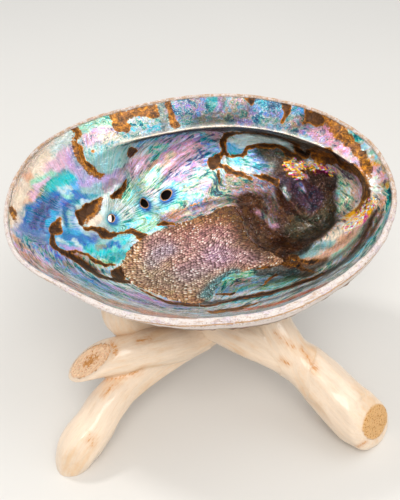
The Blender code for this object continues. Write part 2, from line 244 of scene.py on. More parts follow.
def uneven(points, waves):
    """Ripples added up, from the height, length and seed of each."""
    return sum(tall * ripple(points, length, seed) for tall, length, seed in waves)


def shifted(places, waves):
    """Places moved about by ripples, seeded apart for each direction."""
    aside = [uneven(places, [(tall, length, seed + add) for tall, length, seed in waves]) for add in (0, 1)]
    return places + np.stack(aside, axis=-1)


def between(a, b, c, d, t):
    """A Catmull-Rom curve's point at a share t of the way from b to c, with a before them and d after."""
    return 0.5 * (2 * b + (c - a) * t + (2 * a - 5 * b + 4 * c - d) * t**2 + (3 * b - a - 3 * c + d) * t**3)


def from_left(angle):
    """The angle as -90 to 270 degrees, so that the flat inner lip lies in the middle of the range."""
    return np.mod(angle + math.pi / 2, TURN) - math.pi / 2


def rim_radius(angle):
    """The rim's radius at an angle, on a closed curve through the listed radii."""
    radii = np.array(RIM_RADII)
    place = np.mod(angle, TURN) / TURN * len(radii)
    number = np.floor(place).astype(int)
    return between(*(radii[(number + shift) % len(radii)] for shift in (-1, 0, 1, 2)), place - number)


def lip_width(angle):
    """Thin lip all round, swelling to its full width towards the front."""
    swell = 0.5 + 0.5 * np.cos(angle - LIP_THICK_AT)
    return LIP_THIN + (LIP_THICK - LIP_THIN) * swell**LIP_SWELL


def shelf_share(angle):
    """1 where the flat inner lip is full, 0 where there is none, smooth between."""
    start, full, fade, end = SHELF_SPAN
    return smooth_step(from_left(angle), start, full) * (1.0 - smooth_step(from_left(angle), fade, end))


def undercut_share(angle):
    """1 where the bowl runs in under the flat lip, 0 past the smooth pad at its left end."""
    return 1.0 - smooth_step(from_left(angle), *UNDERCUT_FADE)


def bowl_depth(share, angle, depth, steep, gentle):
    """Superellipse section, deepest at share 0 and level with the opening at share 1, gentler towards one side."""
    ease = (0.5 + 0.5 * np.cos(angle - GENTLE_AT)) ** GENTLE_SPREAD
    first = steep[0] + (gentle[0] - steep[0]) * ease
    second = steep[1] + (gentle[1] - steep[1]) * ease
    inside = np.clip(1.0 - np.clip(share, 0.0, 1.0) ** first, 0.0, 1.0)
    return -depth * inside ** (1.0 / second)


def inner_surface(angle, rows_shelf, rows_bowl):
    """Points from the rim to the bottom of the bowl, one column for each angle.

    The first rows run from the rim to the crest of the flat inner lip. The others run from the crest, out under it
    and down the wall, to the deepest point. Where there is no flat lip, both stretches follow the plain bowl.
    """
    angle = angle[:, None]
    shelf = shelf_share(angle)
    radius = rim_radius(angle)
    width = SHELF_NARROW + (SHELF_WIDTH - SHELF_NARROW) * smooth_step(from_left(angle), *SHELF_WIDENS)
    crest = 1.0 - width / radius
    run = np.linspace(0.0, 1.0, rows_shelf + 1)[None, :]
    share_a = 1.0 - run * (1.0 - crest)
    flat = -SHELF_DROP * run - SHELF_SAG * np.sin(math.pi * run)
    plain = bowl_depth(share_a, angle, INNER_DEPTH, INNER_STEEP, INNER_GENTLE)
    depth_a = (1.0 - shelf) * plain + shelf * flat
    run = np.linspace(0.0, 1.0, rows_bowl + 1)[None, 1:]
    turn = run * math.pi / 2
    share_plain = crest * (1.0 - run)
    plain = bowl_depth(share_plain, angle, INNER_DEPTH, INNER_STEEP, INNER_GENTLE)
    whorl = np.exp(-(((from_left(angle) - WHORL_AT) / WHORL_SPREAD) ** 2))
    push = (UNDERCUT + WHORL_UNDERCUT * whorl) / radius
    bulge = np.sin(math.pi * np.minimum(run / BULGE_END, 1.0)) ** BULGE_ROUND
    share_under = crest * np.cos(turn) ** WALL_ROUND + push * bulge
    under = -SHELF_DROP - (INNER_DEPTH - SHELF_DROP) * np.sin(turn) ** FLOOR_ROUND
    cut = shelf * undercut_share(angle)
    pad = (shelf - cut) / np.maximum(1.0 - cut, 1e-6) * (1.0 - smooth_step(run, 0.0, PAD_REACH))
    brink = bowl_depth(crest, angle, INNER_DEPTH, INNER_STEEP, INNER_GENTLE)
    share_b = (1.0 - cut) * share_plain + cut * share_under
    depth_b = (1.0 - cut) * (plain - pad * (SHELF_DROP + brink)) + cut * under
    share = np.concatenate([share_a, share_b], axis=1)
    depth = np.concatenate([depth_a, depth_b], axis=1)
    x, y = MIDDLE[0] + share * radius * np.cos(angle), MIDDLE[1] + share * radius * np.sin(angle)
    return np.stack([x, y, depth], axis=-1)


def outer_height(x, y):
    """Depth of the outside of the shell under a point, with the low dome of the whorl."""
    away, angle = about_middle(x, y)
    lip = lip_width(angle)
    share = away / (rim_radius(angle) + lip)
    away = np.hypot(x - APEX[0], y - APEX[1])
    dome = SPIRE_HEIGHT * np.exp(-((away / SPIRE_RADIUS) ** 2))
    inside = 1.0 - smooth_step(share, SPIRE_EDGE, 1.0)
    return bowl_depth(share, angle, OUTER_DEPTH, OUTER_STEEP, OUTER_GENTLE) - LIP_SLOPE * lip - dome * inside


def outward(x, y):
    """Unit normal of the outside of the shell over a point, from its slopes."""
    step = 0.5
    slope_x = (outer_height(x + step, y) - outer_height(x - step, y)) / (2 * step)
    slope_y = (outer_height(x, y + step) - outer_height(x, y - step)) / (2 * step)
    return unit(np.stack([slope_x, slope_y, -np.ones_like(slope_x)], axis=-1))


def placed(points):
    """Shell points in millimetres, tilted towards the front and set on the stand, in metres."""
    tilt = np.array(Matrix.Rotation(SHELL_TILT, 3, "X"))
    return (points @ tilt.T + np.array(SHELL_AT) + np.array(OFFSET)) * MM


def unplaced(points):
    """The reverse of placed."""
    tilt = np.array(Matrix.Rotation(SHELL_TILT, 3, "X"))
    return (points / MM - np.array(OFFSET) - np.array(SHELL_AT)) @ tilt


def grid_normals(points):
    """Unit normals of a grid whose first axis closes on itself, from the steps along both axes."""
    first = np.roll(points, -1, axis=0) - np.roll(points, 1, axis=0)
    second = np.gradient(points, axis=1)
    normal = np.cross(first, second)
    length = np.linalg.norm(normal, axis=-1, keepdims=True)
    return normal / np.maximum(length, 1e-9)


def smooth_line(points, closed=False, parts=6):
    """A Catmull-Rom curve through the points, open or closed."""
    knots = np.array(points, float)
    if closed:
        padded = np.concatenate([knots[-1:], knots, knots[:2]])
    else:
        padded = np.concatenate([[2 * knots[0] - knots[1]], knots, [2 * knots[-1] - knots[-2]]])
    a, b, c, d = (padded[shift : len(padded) - 3 + shift, None] for shift in range(4))
    t = np.linspace(0.0, 1.0, parts, endpoint=False)[None, :, None]
    curve = between(a, b, c, d, t).reshape(-1, knots.shape[1])
    return curve if closed else np.concatenate([curve, knots[-1:]])


def away_from_line(places, line, widths=(0.0, 0.0)):
    """Distance of each place from a broken line, less the half-width, which runs evenly from end to end."""
    widths = np.interp(np.linspace(0, 1, len(line)), np.linspace(0, 1, len(widths)), widths)
    best = np.full(len(places), 1e9)
    for start, end, wide, wider in zip(line[:-1], line[1:], widths[:-1], widths[1:]):
        step = end - start
        share = np.clip((places - start) @ step / max(step @ step, 1e-9), 0.0, 1.0)
        away = np.linalg.norm(places - start - share[:, None] * step, axis=1)
        best = np.minimum(best, away - wide - (wider - wide) * share)
    return best


def cover_of(places, line, wide, soft, power=2):
    """1 within the half-width of a line, less and less over the softness beyond it."""
    return np.exp(-((np.maximum(away_from_line(places, line, (wide, wide)), 0.0) / soft) ** power))


def away_from_area(places, outline):
    """Distance of each place from a closed outline, negative inside it."""
    loop = np.concatenate([outline, outline[:1]])
    best = away_from_line(places, loop)
    inside = np.zeros(len(places), bool)
    for start, end in zip(loop[:-1], loop[1:]):
        rises = (start[1] > places[:, 1]) != (end[1] > places[:, 1])
        rise = end[1] - start[1] if end[1] != start[1] else 1e-9
        crossing = start[0] + (places[:, 1] - start[1]) * (end[0] - start[0]) / rise
        inside ^= rises & (places[:, 0] < crossing)
    return np.where(inside, -best, best)


def picture_axes():
    """The camera's right, up and forward directions and its focal length in pixels."""
    up = np.array((0.0, math.cos(CAMERA_PITCH), math.sin(CAMERA_PITCH)))
    ahead = np.array((0.0, math.sin(CAMERA_PITCH), -math.cos(CAMERA_PITCH)))
    return np.array((1.0, 0.0, 0.0)), up, ahead, CAMERA_LENS / CAMERA_SENSOR * PICTURE[1]


def picture_ray(pixel):
    """Direction from the camera through a pixel."""
    right, up, ahead, focal = picture_axes()
    across = (pixel[0] - PICTURE[0] / 2) / focal
    rise = (PICTURE[1] / 2 - pixel[1]) / focal
    return Vector(ahead + across * right + rise * up).normalized()


def knots_of(pixels):
    """Picture points as rows, from a list that gives x and y in turn."""
    return np.reshape(pixels, (-1, 2))


class Sketch:
    """Carries points of the picture on to the inside of the bowl, by rays from the scene's camera."""

    def __init__(self, points, plan):
        """points is the inner grid in metres, plan its unrolled places in millimetres."""
        around, rows = points.shape[:2]
        here = np.arange(around)[:, None] * rows + np.arange(rows - 1)[None, :]
        there = (np.arange(around)[:, None] + 1) % around * rows + np.arange(rows - 1)[None, :]
        self.quads = np.stack([here, there, there + 1, here + 1], axis=-1).reshape(-1, 4)
        self.points = points.reshape(-1, 3)
        self.plan = plan.reshape(-1, 2)
        self.tree = BVHTree.FromPolygons(self.points.tolist(), self.quads.tolist())
        self.eye = np.array(CAMERA_AT)
        right, up, ahead, focal = picture_axes()
        reach = self.points - self.eye
        depth = reach @ ahead
        self.pixels = np.stack([
            PICTURE[0] / 2 + focal * (reach @ right) / depth, PICTURE[1] / 2 - focal * (reach @ up) / depth,
        ], axis=-1)

    def hit(self, pixel):
        """The point of the bowl seen at a pixel and its place in the plan, or the nearest one of the rim past it."""
        ray = picture_ray(pixel)
        place, normal, index, _ = self.tree.ray_cast(Vector(self.eye), ray)
        if index is None or abs(normal.dot(ray)) < 0.02 or self.behind_lip(place):
            near = int(np.argmin(np.linalg.norm(self.pixels - np.array(pixel), axis=1)))
            return self.points[near], self.plan[near]
        corners = self.quads[index]
        weight = 1.0 / (np.linalg.norm(self.points[corners] - np.array(place), axis=1) + 1e-5) ** 2
        return np.array(place), weight @ self.plan[corners] / weight.sum()

    def behind_lip(self, place):
        """Whether the straight way from the camera to a point of the bowl passes under the front rim."""
        step = np.array(place) - self.eye
        start, end = unplaced(self.eye), unplaced(np.array(place))
        share = start[2] / (start[2] - end[2])
        x, y = (start[axis] + share * (end[axis] - start[axis]) - MIDDLE[axis] for axis in range(2))
        return math.hypot(x, y) > float(rim_radius(np.array(math.atan2(y, x)))) + 0.5 and step[2] < 0

    def line(self, pixels, closed=False):
        """Places in the plan of a smooth line through pixels."""
        return np.array([self.hit(pixel)[1] for pixel in smooth_line(knots_of(pixels), closed, 4)])

    def spots(self, pixels):
        """Places on the shell, in its own millimetres, of pixels."""
        return unplaced(np.array([self.hit(pixel)[0] for pixel in pixels]))


def way_along(points):
    """Way from the first point to each point, along every row."""
    steps = np.linalg.norm(np.diff(points, axis=1), axis=2)
    return np.concatenate([np.zeros((len(points), 1)), np.cumsum(steps, axis=1)], axis=1)


def unrolled(points, angle):
    """Plan of the inside: each point at its column's angle, as far out as its way along the column is long."""
    run = way_along(points[:, ::-1])[:, ::-1]
    return np.stack([run * np.cos(angle)[:, None], run * np.sin(angle)[:, None]], axis=-1)


# Markings of the inside, in picture points that give x and y in turn: strength of the tints, shift of the blue round
# the holes, widening of the brown lines, the furthest way told into or out of a mark, and the way told past the lip
TINT_STRENGTH = 0.88
HALO_SHIFT = (1.0, -0.5, 0.0)
STAIN_SWELL = 1.35
MARK_REACH = 3.0
PAST_LIP = -20.0
# Brown lines with their half-widths in millimetres, and brown areas
STAIN_LINES = (
    ((51, 234, 52, 240, 56, 248, 65, 253), (0.8, 1.3, 1.2)),
    ((73, 128, 77, 133, 76, 140, 80, 148, 83, 157, 91, 167, 101, 175), (0.9, 0.8, 0.4, 0.6, 0.6, 0.6, 0.5)),
    ((65, 253, 76, 259, 87, 267, 99, 275, 114, 280, 127, 282), (1.2, 1.6, 1.5, 1.1, 1.3)),
    ((65, 252, 76, 252, 87, 255, 96, 261, 107, 265, 116, 265), (0.7, 0.6, 0.8, 0.8, 0.3)),
    ((83, 229, 91, 229, 100, 231, 107, 235, 114, 234), (0.5, 0.9, 2.1, 0.9)),
    ((114, 234, 123, 233, 131, 231, 137, 233, 142, 238, 146, 236), (0.4, 0.4, 1.2, 1.4, 0.8)),
    ((140, 289, 156, 297, 178, 304, 205, 306, 235, 300, 262, 294, 290, 287, 318, 276), (0.3, 1.0, 1.0, 1.3, 1.1)),
    ((206, 312, 222, 310, 246, 306, 262, 301), (0.2, 0.5, 0.5, 0.2)),
    ((258, 289, 266, 282, 276, 275), (0.1, 0.4, 0.7)),
    ((292, 256, 300, 260, 312, 262, 320, 260), (1.0, 0.6, 0.9, 0.4)),
    ((258, 269, 268, 267, 280, 264, 294, 265, 306, 270, 317, 273), (0.3, 0.7, 0.5, 0.6, 0.2)),
    ((226, 135, 236, 133, 251, 133, 266, 134, 283, 138, 297, 145), (1.5, 0.8, 0.6, 0.7, 1.2)),
    ((227, 135, 222, 143, 224, 150, 219, 157, 213, 163), (1.4, 1.0, 0.9, 1.9)),
    ((213, 165, 225, 167, 231, 171, 238, 174, 252, 178), (0.8, 1.0, 1.0, 0.5)),
    ((244, 155, 247, 149, 256, 146, 271, 146, 281, 147, 290, 154, 298, 158), (0.7, 0.9, 1.1, 1.3)),
    ((226, 154, 236, 157, 244, 155), (0.6, 0.5, 0.7)),
    ((254, 175, 260, 177, 268, 178, 276, 182), (0.4, 1.1, 1.0)),
    ((298, 150, 306, 155, 312, 150, 322, 148, 334, 153, 340, 162), (1.6, 0.8, 0.7, 1.4)),
    ((219, 172, 219, 184), (0.4, 0.2)),
    ((340, 164, 352, 166, 362, 175, 366, 187, 364, 199, 358, 210), (0.5, 0.5, 0.8, 0.7, 0.2)),
    ((160, 225, 166, 223, 174, 224), (0.7, 0.9, 0.3)),
    ((176, 212, 190, 206, 204, 200, 222, 196), (0.0, 0.15, 0.0)),
    ((212, 207, 225, 208, 236, 206), (0.1, 0.3, 0.1)),
    ((217, 293, 226, 294, 235, 293), (0.4, 0.8, 0.4)),
)
STAIN_AREAS = (
    (75, 211, 83, 206, 92, 201, 100, 197, 102, 200, 98, 207, 93, 214, 87, 219, 84, 225, 81, 228, 78, 221),
    (49, 231, 53, 223, 60, 217, 62, 224, 63, 231, 56, 235, 50, 235),
    (127, 179, 126, 187, 123, 195, 116, 200, 109, 197, 117, 190, 123, 182),
    (241, 94, 257, 95, 251, 105, 247, 100),
    (282, 98, 292, 100, 290, 114, 282, 123, 283, 112),
    (111, 272, 118, 267, 125, 265, 126, 278, 116, 281),
    (126, 152, 129, 147, 138, 149, 135, 155, 130, 159),
    (92, 150, 95, 150, 95, 153, 92, 153),
    (303, 105, 314, 108, 323, 115, 324, 124, 316, 127, 307, 124, 302, 127, 305, 117),
    (268, 95, 278, 96, 286, 98, 278, 99, 270, 98),
)
# Golden-brown flecked areas
AMBER_AREAS = (
    (70, 129, 77, 127, 82, 133, 79, 139, 74, 134),
    (72, 136, 80, 146, 85, 158, 93, 167, 103, 174, 100, 179, 92, 176, 82, 167, 74, 156, 72, 146),
    (110, 112, 124, 106, 140, 102, 152, 100, 157, 104, 159, 117, 146, 117, 134, 118, 128, 122, 131, 131,
     122, 133, 115, 131, 111, 120),
    (165, 98, 170, 98, 172, 109, 177, 121, 180, 126, 173, 129, 169, 121, 167, 112),
    (322, 112, 340, 121, 353, 137, 364, 151, 371, 166, 372, 178, 365, 174, 356, 158, 344, 144, 331, 133),
    (208, 311, 225, 309, 243, 306, 258, 302, 246, 308, 226, 312, 210, 313),
    (100, 196, 104, 199, 99, 210, 92, 220, 84, 226, 87, 219, 93, 211, 98, 203),
    (312, 152, 322, 151, 334, 156, 338, 164, 326, 164, 314, 163),
    (9, 208, 13, 206, 17, 214, 15, 221, 10, 216),
    (340, 161, 353, 163, 364, 172, 371, 187, 369, 202, 361, 214, 355, 211, 361, 200, 362, 188, 357, 178,
     349, 171, 340, 168),
)
HOLLOW = (
    274, 188, 282, 178, 292, 172, 306, 170, 322, 169, 336, 170, 338, 182, 335, 196, 338, 212, 336, 224,
    326, 236, 316, 243, 308, 252, 298, 257, 288, 256, 280, 244, 274, 230, 278, 218, 276, 204,
)
SCAR_OUTLINE = (
    121, 269, 124, 257, 131, 245, 143, 238, 163, 229, 188, 220, 206, 214, 216, 209, 228, 206, 237, 208,
    242, 216, 245, 228, 251, 240, 262, 248, 273, 254, 284, 261, 276, 266, 258, 268, 244, 272, 228, 276,
    220, 284, 214, 292, 208, 299, 196, 304, 176, 301, 153, 293, 133, 284,
)
PAD = (86, 154, 92, 144, 106, 138, 124, 134, 133, 138, 128, 146, 130, 158, 124, 169, 111, 175, 97, 172)
OVAL = (228, 147, 234, 140, 246, 136, 262, 136, 280, 141, 292, 148, 298, 156, 290, 152, 280, 145, 262, 144,
        250, 147, 242, 153, 233, 155)
BLISTER = (208, 97, 216, 95, 223, 97, 224, 104, 220, 113, 213, 116, 208, 111, 206, 104)

# Smooth places with hardly any streaks
CALM_AREAS = (
    (28, 232, 33, 210, 46, 196, 62, 182, 84, 184, 104, 194, 84, 226, 98, 250, 72, 252, 48, 242),
    (14, 238, 13, 205, 34, 165, 70, 128, 86, 132, 62, 158, 46, 178, 34, 202, 27, 234),
    PAD,
    OVAL,
    BLISTER,
    (92, 247, 108, 238, 128, 242, 124, 262, 104, 258),
    (84, 226, 96, 214, 108, 208, 106, 222, 94, 228),
    (88, 176, 108, 176, 126, 168, 122, 182, 104, 194, 90, 188),
    (60, 152, 70, 142, 76, 158, 92, 172, 90, 184, 62, 184, 46, 194, 48, 174),
    (298, 258, 328, 240, 346, 222, 354, 208, 370, 204, 372, 224, 350, 248, 318, 266),
)
# The mantle's place, where streaks fan out from the whorl
MANTLE = (
    30, 235, 18, 205, 38, 155, 85, 125, 130, 128, 200, 127, 226, 134, 222, 165, 216, 186, 190, 205,
    150, 222, 115, 232, 80, 236,
)
WHORL = 106, 226
FAN_BEND = 6.5e-5

# Relief of the inside: line or area, picture points, softness and height in millimetres
RELIEF = (
    ("area", HOLLOW, 6.0, -1.6),
    ("area", PAD, 1.5, 0.4),
    ("area", OVAL, 1.2, 0.45),
    ("area", BLISTER, 1.4, 0.9),
    ("area", STAIN_AREAS[0], 1.2, -0.7),
    ("area", STAIN_AREAS[1], 1.0, -0.8),
    ("area", STAIN_AREAS[2], 1.2, -0.6),
    ("line", (20, 233, 30, 236, 40, 238, 50, 234, 58, 232, 68, 230), 1.3, 0.9),
    ("line", (62, 205, 62, 216, 64, 228), 1.0, 0.5),
    ("line", (74, 208, 78, 220, 82, 229), 1.0, 0.6),
    ("line", (44, 222, 50, 212, 58, 204), 2.6, -1.0),
    ("line", (68, 214, 70, 226), 2.4, -0.7),
    ("line", (84, 228, 96, 222, 104, 212, 110, 198, 122, 182, 128, 168), 2.0, 0.6),
    ("line", (130, 160, 150, 147, 175, 139, 200, 134), 1.6, -0.5),
    ("line", (136, 172, 160, 150, 190, 138, 215, 134), 1.2, 0.35),
    ("line", (145, 178, 165, 155, 190, 143), 1.2, -0.3),
    ("line", (150, 188, 172, 165, 200, 145), 1.2, 0.3),
    ("line", (165, 180, 190, 160, 210, 142), 1.2, -0.25),
    ("line", (160, 222, 195, 205, 230, 196, 268, 190), 1.2, -0.4),
    ("line", (170, 218, 200, 207, 235, 203, 262, 200), 1.2, 0.4),
    ("line", (278, 186, 290, 200, 304, 214, 310, 204, 304, 190), 1.4, -0.9),
    ("line", (292, 182, 302, 192, 308, 202), 1.0, 0.6),
    ("line", (262, 202, 280, 206, 298, 220, 312, 222), 1.4, 0.5),
    ("line", (316, 210, 318, 220, 322, 226, 328, 222), 1.4, -0.5),
)

